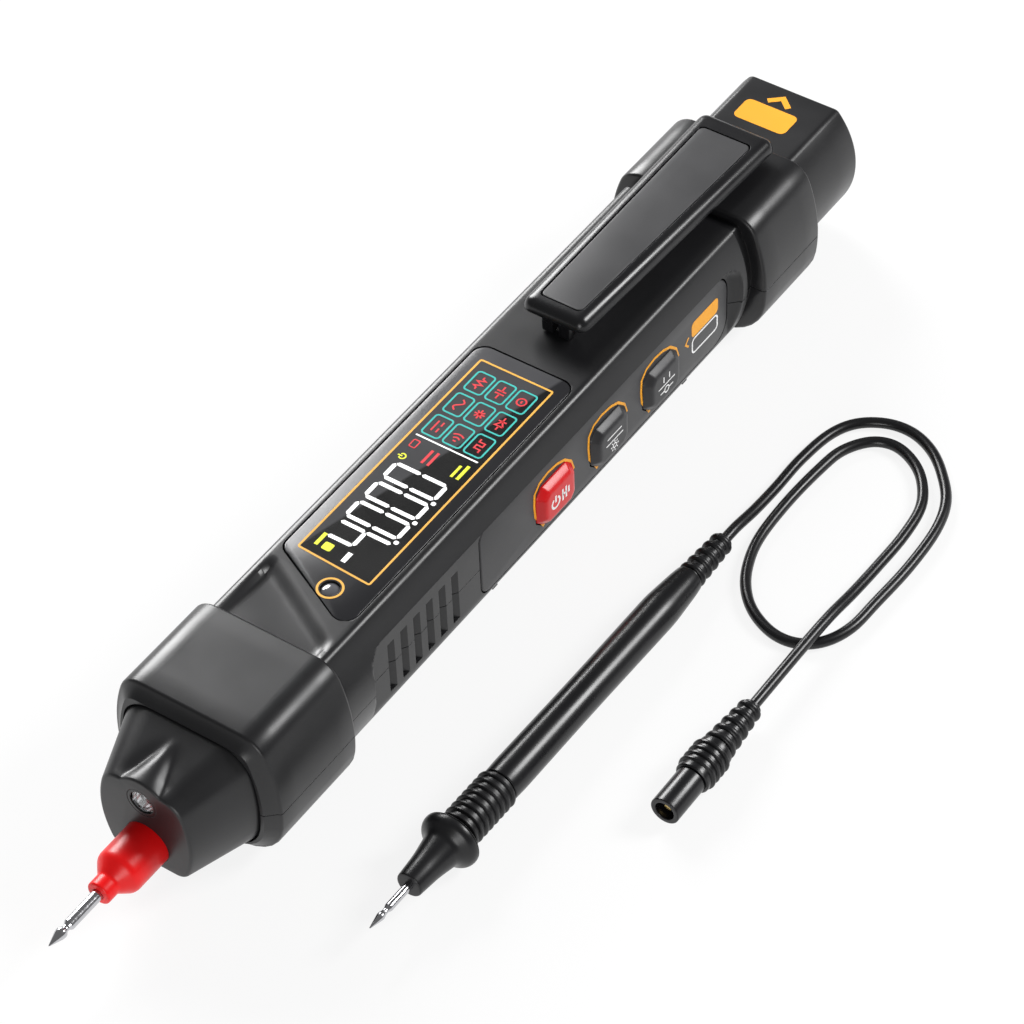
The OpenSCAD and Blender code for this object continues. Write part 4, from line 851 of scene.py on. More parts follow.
def body_places():
    """Where the body needs rings: close together at ramps and walls, far apart between."""
    places = spread(COLLAR_X1, PAD_X0 + PAD_CORNER, FRONT_STEP)
    places += spread(PAD_X0 + PAD_CORNER, SLOT_FIRST, SLOT_STEP)
    for i in range(SLOT_COUNT):
        x = SLOT_FIRST + i * SLOT_PITCH
        places += [x - SLOT_W / 2, x - SLOT_W / 2 + SLOT_WALL, x - SLOT_W / 6, x + SLOT_W / 2]
    places += spread(SLOT_FIRST + SLOT_COUNT * SLOT_PITCH, PAD_X1 - PAD_CORNER, LONG_STEP)
    groove = TAIL_X0 - GROOVE_W
    places += spread(PAD_X1 - PAD_CORNER, groove, RAMP_STEP) + [groove]
    return sorted(set(places))


print("stations of the body", len(body_places()))

# %% Skin of the case
def groove_ring(x):
    """The groove ahead of the rear collar leaves the flat underside whole."""
    outside, inside = ring(BODY, 0, SHARES), ring(BODY, -GROOVE_DEPTH, SHARES)
    points = []
    for (y0, z0), (y1, z1) in zip(outside, inside):
        t = smooth(z0, GROOVE_DEPTH, 2 * GROOVE_DEPTH)
        points.append((x, y0 + (y1 - y0) * t, z0 + (z1 - z0) * t))
    return points


def plain_ring(section, x, grow=0.0, shares=None):
    """A ring set up at its station."""
    return [(x, y, z) for y, z in ring(section, grow, shares)]


def case_rings():
    """The front collar with its rim, the worked body, the groove and the rear collar."""
    front = [(RIM_X, -RIM_W)] + collar_stations(COLLAR_X0, COLLAR_X1)
    rings = [plain_ring(COLLAR, x, grow, SHARES) for x, grow in front]
    rings += [[body_point(x, y, z) for y, z in ring(BODY, 0, SHARES)] for x in body_places()]
    rings += [groove_ring(x) for x in (TAIL_X0 - GROOVE_W, TAIL_X0)]
    rings += [plain_ring(COLLAR, x, grow, SHARES) for x, grow in collar_stations(TAIL_X0, TAIL_X1)]
    return rings


case = sheath("case", case_rings())
print("case", len(case.data.polygons), "faces")

# %% [markdown]
# The case is hollow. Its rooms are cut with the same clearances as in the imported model:
# one stretch for the board and the display, a tail room under the clip, the seats of
# the nose and the socket block, two cradles for the cells, the recess of the display
# panel and the opening behind the button panel.

# %% Plans of the two panels
PANEL_TOP, PANEL_T, PANEL_R = 27, 1.3, 2.4
PANEL_HALF_W, PANEL_BACK = 9.8, 30.3
PANEL_FRONT_FAR, PANEL_FRONT_NEAR = -26.6, -36.3
INLAY_GAP = 0.25
KEYS_X0, KEYS_X1, KEYS_Z0, KEYS_Z1 = -2.7, 74.1, 6, 21.2
KEYS_Y, KEYS_T = 12.6, 1.2
KEYS_R, KEYS_TAIL_R = 2.2, 4.5


def rounded(corners, radii, steps=8):
    """A closed outline with each corner rounded by its own radius."""
    outline = []
    for i, corner in enumerate(corners):
        here = Vector(corner)
        before = (Vector(corners[i - 1]) - here).normalized()
        after = (Vector(corners[(i + 1) % len(corners)]) - here).normalized()
        half = before.angle(after) / 2
        radius = radii[i] if isinstance(radii, (list, tuple)) else radii
        centre = here + (before + after).normalized() * radius / math.sin(half)
        a, b = (here + side * radius / math.tan(half) - centre for side in (before, after))
        start = math.atan2(a.y, a.x)
        sweep = (math.atan2(b.y, b.x) - start + math.pi) % math.tau - math.pi
        outline += arc(centre.x, centre.y, radius, start, start + sweep, steps)
    return outline


def rectangle(u0, v0, u1, v1):
    return [(u0, v0), (u1, v0), (u1, v1), (u0, v1)]


def panel_plan(grow=0.0):
    half = PANEL_HALF_W + grow
    return rounded([(PANEL_BACK + grow, -half), (PANEL_BACK + grow, half),
                    (PANEL_FRONT_FAR - grow, half), (PANEL_FRONT_NEAR - grow, -half)],
                   PANEL_R + grow)


def keys_plan(grow=0.0):
    small, large = KEYS_R + grow, KEYS_TAIL_R + grow
    return rounded(rectangle(KEYS_X0 - grow, KEYS_Z0 - grow, KEYS_X1 + grow, KEYS_Z1 + grow),
                   [small, large, large, small])


print("display panel", round(PANEL_BACK - PANEL_FRONT_NEAR, 1), "mm long")

# %% [markdown]
# What is cut out of the case is mostly plain: boxes, and round bars along X or Z. They are
# tools that vanish in the Boolean, or cores that other pieces hide.

# %% Boxes, rods and posts
ROD_SIDES, POST_SIDES = 64, 48


def box(name, low, high):
    """A block between its lowest and its highest corner."""
    idle()
    bpy.ops.mesh.primitive_cube_add(size=1)
    piece = added(name)
    for v in piece.data.vertices:
        v.co = [a if c < 0 else b for c, a, b in zip(v.co, low, high)]
    return piece


def rod(name, x0, x1, radius, y, z, sides=ROD_SIDES):
    """A plain round bar along X, used as a cutter or as a core."""
    idle()
    bpy.ops.mesh.primitive_cylinder_add(vertices=sides, radius=radius, depth=x1 - x0,
                                        rotation=(0, math.pi / 2, 0), location=((x0 + x1) / 2, y, z))
    bpy.ops.object.transform_apply(location=True, rotation=True, scale=True)
    return added(name)


def post(name, z0, z1, radius, x, y, sides=POST_SIDES):
    """A plain round bar along Z."""
    idle()
    bpy.ops.mesh.primitive_cylinder_add(vertices=sides, radius=radius, depth=z1 - z0,
                                        location=(x, y, (z0 + z1) / 2))
    bpy.ops.object.transform_apply(location=True, rotation=True, scale=True)
    return added(name)


print("sides of a rod and of a post", ROD_SIDES, POST_SIDES)

# %% Rooms inside the case
BEYOND = 1
CUT_TOP, CUT_SIDE = 30, 20
SEAT_PLAY, CELL_PLAY = 0.1, 0.15
CELL_Y, CELL_Z, CELL_R = (-4.75, 5.95), 7.45, 5.25
BAY_X0, BAY_X1 = 5, 63
PIPE_X, PIPE_Y, PIPE_R = -30, -2.5, 1.6
NOSE_SEAT, BLOCK_SEAT = 8, 4.4
ROOM_HALF_Y, KEYS_ROOM_HALF_Y = 10.6, 10.4
SCREEN_ROOM_X0, TAIL_ROOF = -27.6, 21.5
SCREEN_HALF_L, SCREEN_HALF_W, SCREEN_LOW = 26, 7.4, 24.2
KEYS_LIP, KEYS_HOLE_Y = 1.2, 9.4
CLIP_POCKET = ((87.1, -5, 24.4), (93.4, 5, 30))


def room(name, section, x0, x1, grow, half_y=CUT_SIDE, roof=2 * CUT_SIDE):
    """A stretch of an outline, held in by a greatest half width and a ceiling."""
    held = [(max(-half_y, min(half_y, y)), min(roof, z)) for y, z in ring(section, grow)]
    return sheath(name, [[(x, y, z) for y, z in held] for x in (x0, x1)])


def long_rooms():
    """Stretches of the outlines: the body, and the seats of the nose and the block."""
    scoop_roof = PANEL_TOP - SCOOP_DEPTH - PANEL_T
    nose_back = COLLAR_X0 + NOSE_SEAT
    return [room("front", BODY, nose_back, COLLAR_X1 + BEYOND, -WALL, roof=scoop_roof),
            room("grip", BODY, COLLAR_X1, KEYS_X0, -WALL, ROOM_HALF_Y, scoop_roof),
            room("screen_room", BODY, SCREEN_ROOM_X0, KEYS_X0, -WALL, ROOM_HALF_Y),
            room("keys_room", BODY, KEYS_X0 - BEYOND, TAIL_X0, -WALL, KEYS_ROOM_HALF_Y),
            room("tail", BODY, TAIL_X0 - BEYOND, TAIL_X1 - WALL, -WALL, roof=TAIL_ROOF),
            room("nose_seat", NOSE_BASE, RIM_X - BEYOND, COLLAR_X0, INLAY_GAP + SEAT_PLAY),
            room("nose_root", NOSE_BASE, COLLAR_X0 - BEYOND, nose_back + BEYOND, SEAT_PLAY),
            room("block_seat", BLOCK, TAIL_X1 - BLOCK_SEAT, TAIL_X1 + BEYOND, SEAT_PLAY)]


def openings():
    """The cradles of the cells, the display, the light pipe, the keys and the clip's foot."""
    recess_floor = PANEL_TOP - PANEL_T - SEAT_PLAY
    cradles = [rod("cradle", BAY_X0, BAY_X1, CELL_R + CELL_PLAY, y, CELL_Z) for y in CELL_Y]
    return cradles + [
        slab("recess", lambda g: panel_plan(INLAY_GAP), [(recess_floor, 0), (CUT_TOP, 0)]),
        box("screen_hole", (-SCREEN_HALF_L, -SCREEN_HALF_W, SCREEN_LOW),
            (SCREEN_HALF_L, SCREEN_HALF_W, PANEL_TOP)),
        post("pipe_hole", CUT_SIDE, CUT_TOP, PIPE_R + SEAT_PLAY, PIPE_X, PIPE_Y),
        slab("keys_seat", lambda g: keys_plan(INLAY_GAP), [(KEYS_Y - KEYS_T, 0), (CUT_SIDE, 0)],
             facing_buttons),
        slab("keys_hole", lambda g: keys_plan(-KEYS_LIP), [(KEYS_HOLE_Y, 0), (CUT_SIDE, 0)],
             facing_buttons),
        box("clip_pocket", *CLIP_POCKET)]


case_skin = copy_of(case, "case_skin")
cut(case, *long_rooms(), *openings())
print("hollow case", len(case.data.polygons), "faces")

# %% [markdown]
# The two shells are the case, kept above and below the seam. The gap between them is the
# fine dark line that runs along the side and across every slot.

# %% Upper shell
SIDEWAYS, ABOVE = 30, 40
SCREW_XS, SCREW_Y = (-49.5, 88.5), 8
SCREWS = [(x, y) for x in SCREW_XS for y in (-SCREW_Y, SCREW_Y)]
PILLAR_R = 2.5
PILLAR_TOPS = dict(zip(SCREW_XS, (26, 20)))
upper = copy_of(case, "upper_case")
cut(upper, box("above_seam", (RIM_X - BEYOND, -SIDEWAYS, SEAM_HIGH), (TAIL_X1 + BEYOND, SIDEWAYS, ABOVE)),
    operation="INTERSECT")
pillars = [post("pillar", SEAM_HIGH, PILLAR_TOPS[x], PILLAR_R, x, y) for x, y in SCREWS]
upper = joined("upper_case", [upper, *pillars])
finish(upper, "pen", "shell", FINISH["shell"], "upper_shell")
print("upper case", len(upper.data.polygons), "faces")

# %% [markdown]
# The lower shell carries what the cells need: a wall at either end of their bay with a
# ledge below it, a boss for the screw of the door, and slots for the tongues of the door.

# %% Lower shell
DOOR_X0, DOOR_X1, DOOR_TOP = 5, 62.6, 4.8
DOOR_GAP = 0.25
DOOR_SCREW = (59, 0.6)
SCREW_WELL_R, SCREW_WELL_TOP = 2, 2.4
BULKHEAD_T, BULKHEAD_HALF_Y, BULKHEAD_Z = 1.4, 10.3, (5.1, 14)
LEDGE_Z = (1, 6)
BOSS_HALF, BOSS_Z, BOSS_BACK, BOSS_HOLE_R = 2.2, (2.2, 8.55), 0.7, 1.4
TONGUE_YS, TONGUE_W, TONGUE_LEN = (-5, 5), 2.5, 2
TONGUE_PLAY, TONGUE_SLOT_TOP = 0.35, 4.6
BOARD_POST_X, BOARD_POST_Z = -37, (1, 14)
lower = copy_of(case, "lower_case")
cut(lower, box("below_seam", (RIM_X - BEYOND, -SIDEWAYS, -BEYOND), (TAIL_X1 + BEYOND, SIDEWAYS, SEAM_LOW)),
    operation="INTERSECT")
cut(lower, box("door_opening", (DOOR_X0 - DOOR_GAP, -SIDEWAYS, -BEYOND),
               (BAY_X1, SIDEWAYS, DOOR_TOP + DOOR_GAP)))
cut(lower, *[post("screw_well", -BEYOND, SCREW_WELL_TOP, SCREW_WELL_R, x, y) for x, y in SCREWS])
print("lower case", len(lower.data.polygons), "faces")


# %% Walls, boss and pillars of the lower shell
def cross_wall(name, x, heights):
    """A thin wall across the case."""
    return box(name, (x, -BULKHEAD_HALF_Y, heights[0]), (x + BULKHEAD_T, BULKHEAD_HALF_Y, heights[1]))


bulkheads = [cross_wall("bulkhead", x, BULKHEAD_Z) for x in (BAY_X0 - BULKHEAD_T, BAY_X1)]
ledges = [cross_wall("ledge", x, LEDGE_Z) for x in (BAY_X0 - BULKHEAD_T - DOOR_GAP, BAY_X1)]
for y in TONGUE_YS:
    half = TONGUE_W / 2 + TONGUE_PLAY
    cut(ledges[0], box("tongue_slot", (0, y - half, WALL), (BAY_X0 + BEYOND, y + half, TONGUE_SLOT_TOP)))
boss_x, boss_y = DOOR_SCREW
boss = box("door_boss", (boss_x - BOSS_HALF, boss_y - BOSS_HALF, BOSS_Z[0]),
           (BAY_X1 + BOSS_BACK, boss_y + BOSS_HALF, BOSS_Z[1]))
cut(boss, post("boss_hole", 0, BOSS_Z[1] + BEYOND, BOSS_HOLE_R, *DOOR_SCREW))
pillars = [post("pillar", SCREW_WELL_TOP, SEAM_LOW, PILLAR_R, x, y) for x, y in SCREWS]
pillars.append(post("board_post", *BOARD_POST_Z, PILLAR_R, BOARD_POST_X, 0))
lower = joined("lower_case", [lower, *bulkheads, *ledges, boss, *pillars])
finish(lower, "pen", "shell", FINISH["shell"], "lower_shell")
bpy.data.objects.remove(case)
print("lower shell", len(lower.data.polygons), "faces")

# %% [markdown]
# The battery door is a stretch of the same skin, set back 0.3 mm from the flat back. It
# wraps the lower edges of the body, turns on two tongues at its front and is held by one
# captive screw.

# %% Battery door
DOOR_INSET, DOOR_T = 0.3, 1.5
DOOR_SCREW_R, DOOR_SEAT_R, DOOR_SEAT_TOP = 1.06, 2, 1
TONGUE_Z, TONGUE_SOFT = (2.05, 3.25), 0.2
door = cut(case_skin, box("door_stretch", (DOOR_X0, -SIDEWAYS, DOOR_INSET), (DOOR_X1, SIDEWAYS, DOOR_TOP)),
           operation="INTERSECT")
trough = room("trough", BODY, DOOR_X0 - BEYOND, DOOR_X1 + BEYOND, -DOOR_T)
cut(trough, box("trough_floor", (DOOR_X0 - 2 * BEYOND, -SIDEWAYS, -BEYOND),
                (DOOR_X1 + 2 * BEYOND, SIDEWAYS, DOOR_INSET + DOOR_T)))
cradles = [rod("cradle", DOOR_X0 - BEYOND, DOOR_X1 + BEYOND, CELL_R + CELL_PLAY, y, CELL_Z) for y in CELL_Y]
cut(door, trough, *cradles, post("screw_hole", -BEYOND, LEDGE_Z[1], DOOR_SCREW_R, *DOOR_SCREW),
    post("screw_seat", -BEYOND, DOOR_SEAT_TOP, DOOR_SEAT_R, *DOOR_SCREW))


def tongue_block(name, x, y, low):
    """A bar as wide as a tongue, from x to where the tongues end in the door."""
    return box(name, (x, y - TONGUE_W / 2, low), (DOOR_X0 + TONGUE_LEN, y + TONGUE_W / 2, TONGUE_Z[1]))


tongues = [tongue_block("tongue", DOOR_X0 - TONGUE_LEN, y, TONGUE_Z[0]) for y in TONGUE_YS]
roots = [tongue_block("tongue_root", DOOR_X0, y, DOOR_SEAT_TOP) for y in TONGUE_YS]
for piece in tongues:
    apply(piece, "BEVEL", width=TONGUE_SOFT, segments=2)
door = joined("battery_cover", [door, *tongues, *roots])
finish(door, "door", "shell", FINISH["shell"], "battery_door")
print("battery door", len(door.data.polygons), "faces")

# %% [markdown]
# The nose is a second sheath that narrows from the rim to the flat face. A hump over the
# torch runs along its top and fades out towards the rim, with a pinched valley on either
# side. Inside are two guide tubes, one for the sleeve and one for the torch, and both
# bores come out in the face.

# %% Nose cone
FACE_X = node_box("nose_cone")[0].x
NEEDLE_Z, TORCH_Z = 9.3, 18.9
SLEEVE_BORE_R, TORCH_BORE_R, GUIDE_WALL = 4.26, 2.9, 1.5
GUIDE_END = RIM_X + NOSE_SEAT - 1
TORCH_DEPTH = 5.5
FACE_SOFT = 0.45
FACE_STEPS = 5
HUMP_RISE, HUMP_HALF_W, HUMP_NARROWS, HUMP_END = 1.6, 4.0, 0.8, 0.8
VALLEY_W, VALLEY_DEPTH = 1.4, 0.4
VALLEY_START, VALLEY_FADE = 0.25, (0.2, 0.55)
NOSE_STEP, NOSE_ROOF = 0.5, 22


def nose_ring(x, grow=0.0):
    """A ring between the outlines of the rim and the face, with the hump and its valleys."""
    t = min(1, max(0, (x - FACE_X) / (RIM_X - FACE_X)))
    half_w = HUMP_HALF_W * (1 - HUMP_NARROWS * min(1, t / HUMP_END))
    points = []
    for (y0, z0), (y1, z1) in zip(ring(NOSE_TIP, grow), ring(NOSE_BASE, grow)):
        y, z = y0 + (y1 - y0) * t, z0 + (z1 - z0) * t
        if z > TORCH_Z - 1:
            reach = abs(y) / half_w
            z += HUMP_RISE * max(0, 1 - t / HUMP_END) * max(0, 1 - reach ** 2)
            valley = VALLEY_DEPTH * smooth(t, 0, VALLEY_START) * smooth(1 - t, *VALLEY_FADE)
            z -= valley * math.exp(-((abs(y) - half_w) / VALLEY_W) ** 2)
        points.append((x, y, z))
    return points


nose_rings = [nose_ring(FACE_X + left, grow) for left, grow in reversed(quarter(FACE_SOFT, FACE_STEPS))]
nose_rings += [nose_ring(x) for x in spread(FACE_X + FACE_SOFT, RIM_X, NOSE_STEP)[1:]]
nose_rings += [nose_ring(x) for x in (RIM_X, COLLAR_X0 + NOSE_SEAT)]
nose = sheath("nose", nose_rings)
print("skin of the nose", len(nose.data.polygons), "faces")

# %% Room and guide tubes of the nose
nose_core = copy_of(nose, "nose_core")
nose_room = sheath("nose_room", [[(x, y, min(z, NOSE_ROOF)) for _, y, z in nose_ring(x, -WALL)]
                                 for x in (FACE_X + WALL, RIM_X, COLLAR_X0 + NOSE_SEAT + BEYOND)])
cut(nose, nose_room)
torch_end = FACE_X + TORCH_DEPTH + 2 * WALL
guides = [rod("guide", FACE_X + WALL / 2, GUIDE_END, SLEEVE_BORE_R + GUIDE_WALL, 0, NEEDLE_Z),
          rod("guide", FACE_X + WALL / 2, torch_end, TORCH_BORE_R + GUIDE_WALL, 0, TORCH_Z)]
guides = [cut(piece, copy_of(nose_core, "core"), operation="INTERSECT") for piece in guides]
cut(nose, *guides, operation="UNION")
bpy.data.objects.remove(nose_core)
cut(nose, rod("bore", FACE_X - BEYOND, GUIDE_END + BEYOND, SLEEVE_BORE_R, 0, NEEDLE_Z),
    rod("bore", FACE_X - BEYOND, RIM_X, TORCH_BORE_R, 0, TORCH_Z))
finish(nose, "pen", "shell", FINISH["nose"], "nose_cone", angle=40)
print("nose", len(nose.data.polygons), "faces")

# %% [markdown]
# Round pieces are made as on a lathe: `turned` spins an outline of places along X and
# radii about the X axis. Primitives set end to end would leave a seam at each change of
# width. `lathe_round` softens the corners of such an outline first.

# %% Turned pieces
CORNER_STEPS_TURNED = 5


def pick(piece, kind, test):
    """Opens a piece with only those vertices, edges or faces selected that pass a test."""
    activate(piece)
    bpy.ops.object.mode_set(mode="EDIT")
    bpy.ops.mesh.select_mode(type=kind)
    bpy.ops.mesh.select_all(action="DESELECT")
    bpy.ops.object.mode_set(mode="OBJECT")
    items = {"VERT": piece.data.vertices, "EDGE": piece.data.edges, "FACE": piece.data.polygons}[kind]
    for item in items:
        item.select = bool(test(item))
    bpy.ops.object.mode_set(mode="EDIT")


def turned(name, outline, steps=64, hollow=False):
    """Spins an outline of (x, radius) points about the X axis."""
    idle()
    bpy.ops.mesh.primitive_circle_add(vertices=len(outline))
    piece = added(name)
    for v, (x, radius) in zip(piece.data.vertices, outline):
        v.co = (x, 0, radius)
    ends = {0, len(outline) - 1}
    if not hollow:
        pick(piece, "EDGE", lambda e: set(e.vertices) == ends)
        bpy.ops.mesh.delete(type="EDGE")
    pick(piece, "VERT", lambda v: True)
    bpy.ops.mesh.spin(steps=steps, angle=math.tau, center=(0, 0, 0), axis=(1, 0, 0))
    return closed(piece)


def lathe_round(points, steps=CORNER_STEPS_TURNED):
    """Rounds the corners of a lathe outline given as (x, radius, corner radius)."""
    outline = []
    for i, (x, r, soft) in enumerate(points):
        here = Vector((x, r))
        if not soft or i in (0, len(points) - 1):
            outline.append((x, r))
            continue
        before = Vector(points[i - 1][:2]) - here
        after = Vector(points[i + 1][:2]) - here
        a, b = here + before.normalized() * soft, here + after.normalized() * soft
        for k in range(steps + 1):
            t = k / steps
            outline.append(tuple((1 - t) ** 2 * a + 2 * t * (1 - t) * here + t * t * b))
    return outline


def moved(piece, x=0, y=0, z=0):
    """Shifts the mesh itself, so that the object stays at the origin."""
    piece.data.transform(Matrix.Translation((x, y, z)))
    return piece


print("steps round a turned corner", CORNER_STEPS_TURNED)

# %% [markdown]
# The torch is a polished cup with a square light chip behind a flat clear lens. The red
# sleeve is a turned piece with a thin tip, a short cone and a long round body that runs
# back into the nose. The needle has a sharp head with a narrow neck behind it.

# %% Torch
TORCH_X = -77
CHIP_HALF, LAMP_R = 0.9, 1.5


def at_torch(piece):
    """Puts a piece, drawn from the front of the lens, in its place."""
    return moved(piece, x=TORCH_X, z=TORCH_Z)


reflector = turned("reflector", [(0.4, 2.8), (5.2, 2.8), (5.2, 1.55), (4.4, 1.6), (3, 2.0), (1.6, 2.3),
                                 (0.5, 2.42), (0.4, 2.5)], hollow=True)
finish(at_torch(reflector), "pen", "reflector", FINISH["mirror"], "torch_reflector")
chip = box("torch_chip", (3.4, -CHIP_HALF, -CHIP_HALF), (4, CHIP_HALF, CHIP_HALF))
apply(chip, "BEVEL", width=0.1, segments=2)
finish(at_torch(chip), "pen", "led_resin", FINISH["chips"])
led = rod("torch_lamp", 4, 7.4, LAMP_R, 0, 0)
finish(at_torch(led), "pen", "led_resin", FINISH["resin"], "torch_led")
lens = turned("lens", [(0, 0), (0, 2.6), (0.05, 2.75), (0.15, 2.8), (0.3, 2.8), (0.3, 0)])
finish(at_torch(lens), "pen", "clear", FINISH["clear"], "torch_lens")
bezel = turned("torch_bezel", lathe_round([(-0.28, 2.3, 0), (-0.28, 2.86, 0.1), (-0.02, 2.86, 0),
                                           (-0.02, 2.3, 0)]), hollow=True)
finish(at_torch(bezel), "pen", "shell", FINISH["nose"])
print("torch", round(TORCH_X - FACE_X, 2), "mm behind the face")

# %% Sleeve and needle
SLEEVE_X, SLEEVE_LEN, SLEEVE_R, SLEEVE_BORE = -89.8, 29, 4.2, 1.06
NEEDLE_X, NEEDLE_LEN = node_box("probe_needle")[0].x, 46.7
sleeve = turned("sleeve", lathe_round([
    (0, SLEEVE_BORE, 0), (0, 2.2, 0.45), (2.6, 2.2, 0.4), (5, SLEEVE_R, 0.8), (SLEEVE_LEN, SLEEVE_R, 0.4),
    (SLEEVE_LEN, SLEEVE_BORE, 0)]), hollow=True)
finish(moved(sleeve, x=SLEEVE_X, z=NEEDLE_Z), "needle_guard", "red_sleeve", FINISH["red_sleeve"],
       "needle_sleeve", angle=40)
needle = turned("needle", lathe_round([
    (0, 0, 0), (0.15, 0.12, 0.05), (2.75, 1, 0.4), (3.4, 1, 0.2), (4, 0.6, 0.15), (4.5, 0.6, 0.15),
    (5, 1, 0.15), (NEEDLE_LEN, 1, 0.2), (NEEDLE_LEN, 0, 0)]))
finish(moved(needle, x=NEEDLE_X, z=NEEDLE_Z), "pen", "steel", FINISH["steel"], "probe_needle", angle=25)
print("needle from", round(NEEDLE_X, 1))

# %% [markdown]
# The block behind the rear collar carries the lead socket in its end face. It is a short
# box with the same bulging sides and a softened rear edge.

# %% Socket block
BLOCK_X1 = node_box("socket_block")[1].x
BLOCK_SOFT, BLOCK_STEPS = 0.8, 5
BLOCK_STATIONS = (TAIL_X1 - BLOCK_SEAT, TAIL_X1, 105, 111)
SOCKET_Z, INSERT_R, INSERT_DEPTH = 15, 4.25, 5
block_rings = [plain_ring(BLOCK, x) for x in BLOCK_STATIONS]
block_rings += [plain_ring(BLOCK, BLOCK_X1 - left, grow) for left, grow in quarter(BLOCK_SOFT, BLOCK_STEPS)]
socket_end = sheath("socket_end", block_rings)
cut(socket_end, room("block_room", BLOCK, TAIL_X1 - BLOCK_SEAT - BEYOND, BLOCK_X1 - 2 * WALL, -WALL),
    rod("insert_hole", BLOCK_X1 - INSERT_DEPTH, BLOCK_X1 + BEYOND, INSERT_R + SEAT_PLAY, 0, SOCKET_Z))
finish(socket_end, "pen", "shell", FINISH["shell"], "socket_block")
print("socket block to", round(BLOCK_X1, 1))

# %% [markdown]
# Prints and lit signs are thin ribbons and plates, 0.03 mm proud of what carries them. A
# ribbon follows a path with one width; a plate fills an outline.

# %% Ribbons and plates
INK = 0.03


def ribbon(path, width, level, facing=facing_up, loop=False, thick=INK):
    """A flat band along a path, mitred at its corners."""
    path = [Vector(p) for p in path]
    count = len(path)
    rings = []
    for i, here in enumerate(path):
        before = path[i - 1] if i or loop else here
        after = path[(i + 1) % count] if i < count - 1 or loop else here
        a = (here - before).normalized() if here != before else (after - here).normalized()
        b = (after - here).normalized() if here != after else a
        side = Vector((-(a + b).y, (a + b).x)).normalized()
        side *= width / 2 / max(0.4, side.dot(Vector((-b.y, b.x))))
        low, high = here - side, here + side
        rings.append([facing(low.x, low.y, level), facing(high.x, high.y, level),
                      facing(high.x, high.y, level + thick), facing(low.x, low.y, level + thick)])
    return sheath("ribbon", rings + rings[:1] if loop else rings)


def plate(outline, level, facing=facing_up, thick=INK):
    return slab("plate", lambda grow: outline, [(level, 0), (level + thick, 0)], facing)


def printed(name, body, slot, material, pieces):
    return finish(joined(name, pieces), body, slot, material)


def centred(u, v, half_u, half_v):
    return rectangle(u - half_u, v - half_v, u + half_u, v + half_v)


badge = plate(rounded(rectangle(105.4, -4.6, 111.1, 6.3), 1.2), BLOCK[2])
chevron = ribbon([(112.3, -1.5), (114.2, 0.7), (112.3, 2.9)], 1.15, BLOCK[2])
printed("block_signs", "pen", "shell", FINISH["yellow"], [badge, chevron])
print("ink", INK, "mm thick")

# %% [markdown]
# The display is a glossy black panel let into the top, with a slanted front edge. Ahead
# of the screen a round pipe of smoked plastic brings light to the sensor. Its top is domed,
# so it is what a post and a ball have in common.

# %% Display panel and light pipe
PANEL_SOFT = 0.15
DOME_Z, PIPE_LOW, PIPE_HIGH, STEM_LOW = 23.8, 24.5, 28, 16.4
# The panel's finish paints a reflection on it, lighter past a slanting line
glass = slab("display_glass", panel_plan, soft_levels(PANEL_TOP - PANEL_T, PANEL_TOP, PANEL_SOFT))
cut(glass, post("pipe_hole", CUT_SIDE, CUT_TOP, PIPE_R + SEAT_PLAY, PIPE_X, PIPE_Y))
finish(glass, "pen", "panel", FINISH["panel"], "display_window")
idle()
bpy.ops.mesh.primitive_uv_sphere_add(segments=48, ring_count=24, radius=2 * PIPE_R,
                                     location=(PIPE_X, PIPE_Y, DOME_Z))
bpy.ops.object.transform_apply(location=True, rotation=True, scale=True)
dome = added("dome")
pipe = post("light_window", PIPE_LOW, PIPE_HIGH, PIPE_R, PIPE_X, PIPE_Y)
cut(pipe, dome, operation="INTERSECT")
stem = post("pipe_stem", STEM_LOW, PIPE_LOW + SEAT_PLAY, PIPE_R - 0.01, PIPE_X, PIPE_Y)
pipe = joined("light_window", [pipe, stem])
finish(pipe, "pen", "smoke", FINISH["smoke"], "light_pipe")
print("light pipe", 2 * PIPE_R, "mm across")

# %% [markdown]
# A gold frame is printed round the screen, and a gold ring round the light pipe. The dark
# field of the screen lies inside the frame and is thinner than the prints on it.

# %% Gold frame and screen field
FRAME_LINE, RING_LINE, RING_R = 0.38, 0.4, 2.15
FIELD_T = 0.01
frame_path = rounded([(27, -7.4), (27, 7.4), (-25.2, 7.5), (-26.0, -7.4)], 0.3, 2)
field_plan = rounded([(26.8, -7.2), (26.8, 7.2), (-25.0, 7.3), (-25.8, -7.2)], 0.3, 2)
# The field's finish paints the same reflection, lighter past a slanting line
printed("screen_field", "pen", "screen", FINISH["field"], [plate(field_plan, PANEL_TOP, thick=FIELD_T)])
pipe_ring = arc(PIPE_X, PIPE_Y, RING_R, 0, math.tau, 40)[:-1]
gold = [ribbon(frame_path, FRAME_LINE, PANEL_TOP, loop=True),
        ribbon(pipe_ring, RING_LINE, PANEL_TOP, loop=True)]
printed("gold_frame", "pen", "panel", FINISH["gold"], gold)
print("gold lines", len(gold))

# %% [markdown]
# The screen shows four figures. Each is made of some of seven bars. A bar is a thin plate
# pointed at both ends. Figures and signs glow a little by themselves.

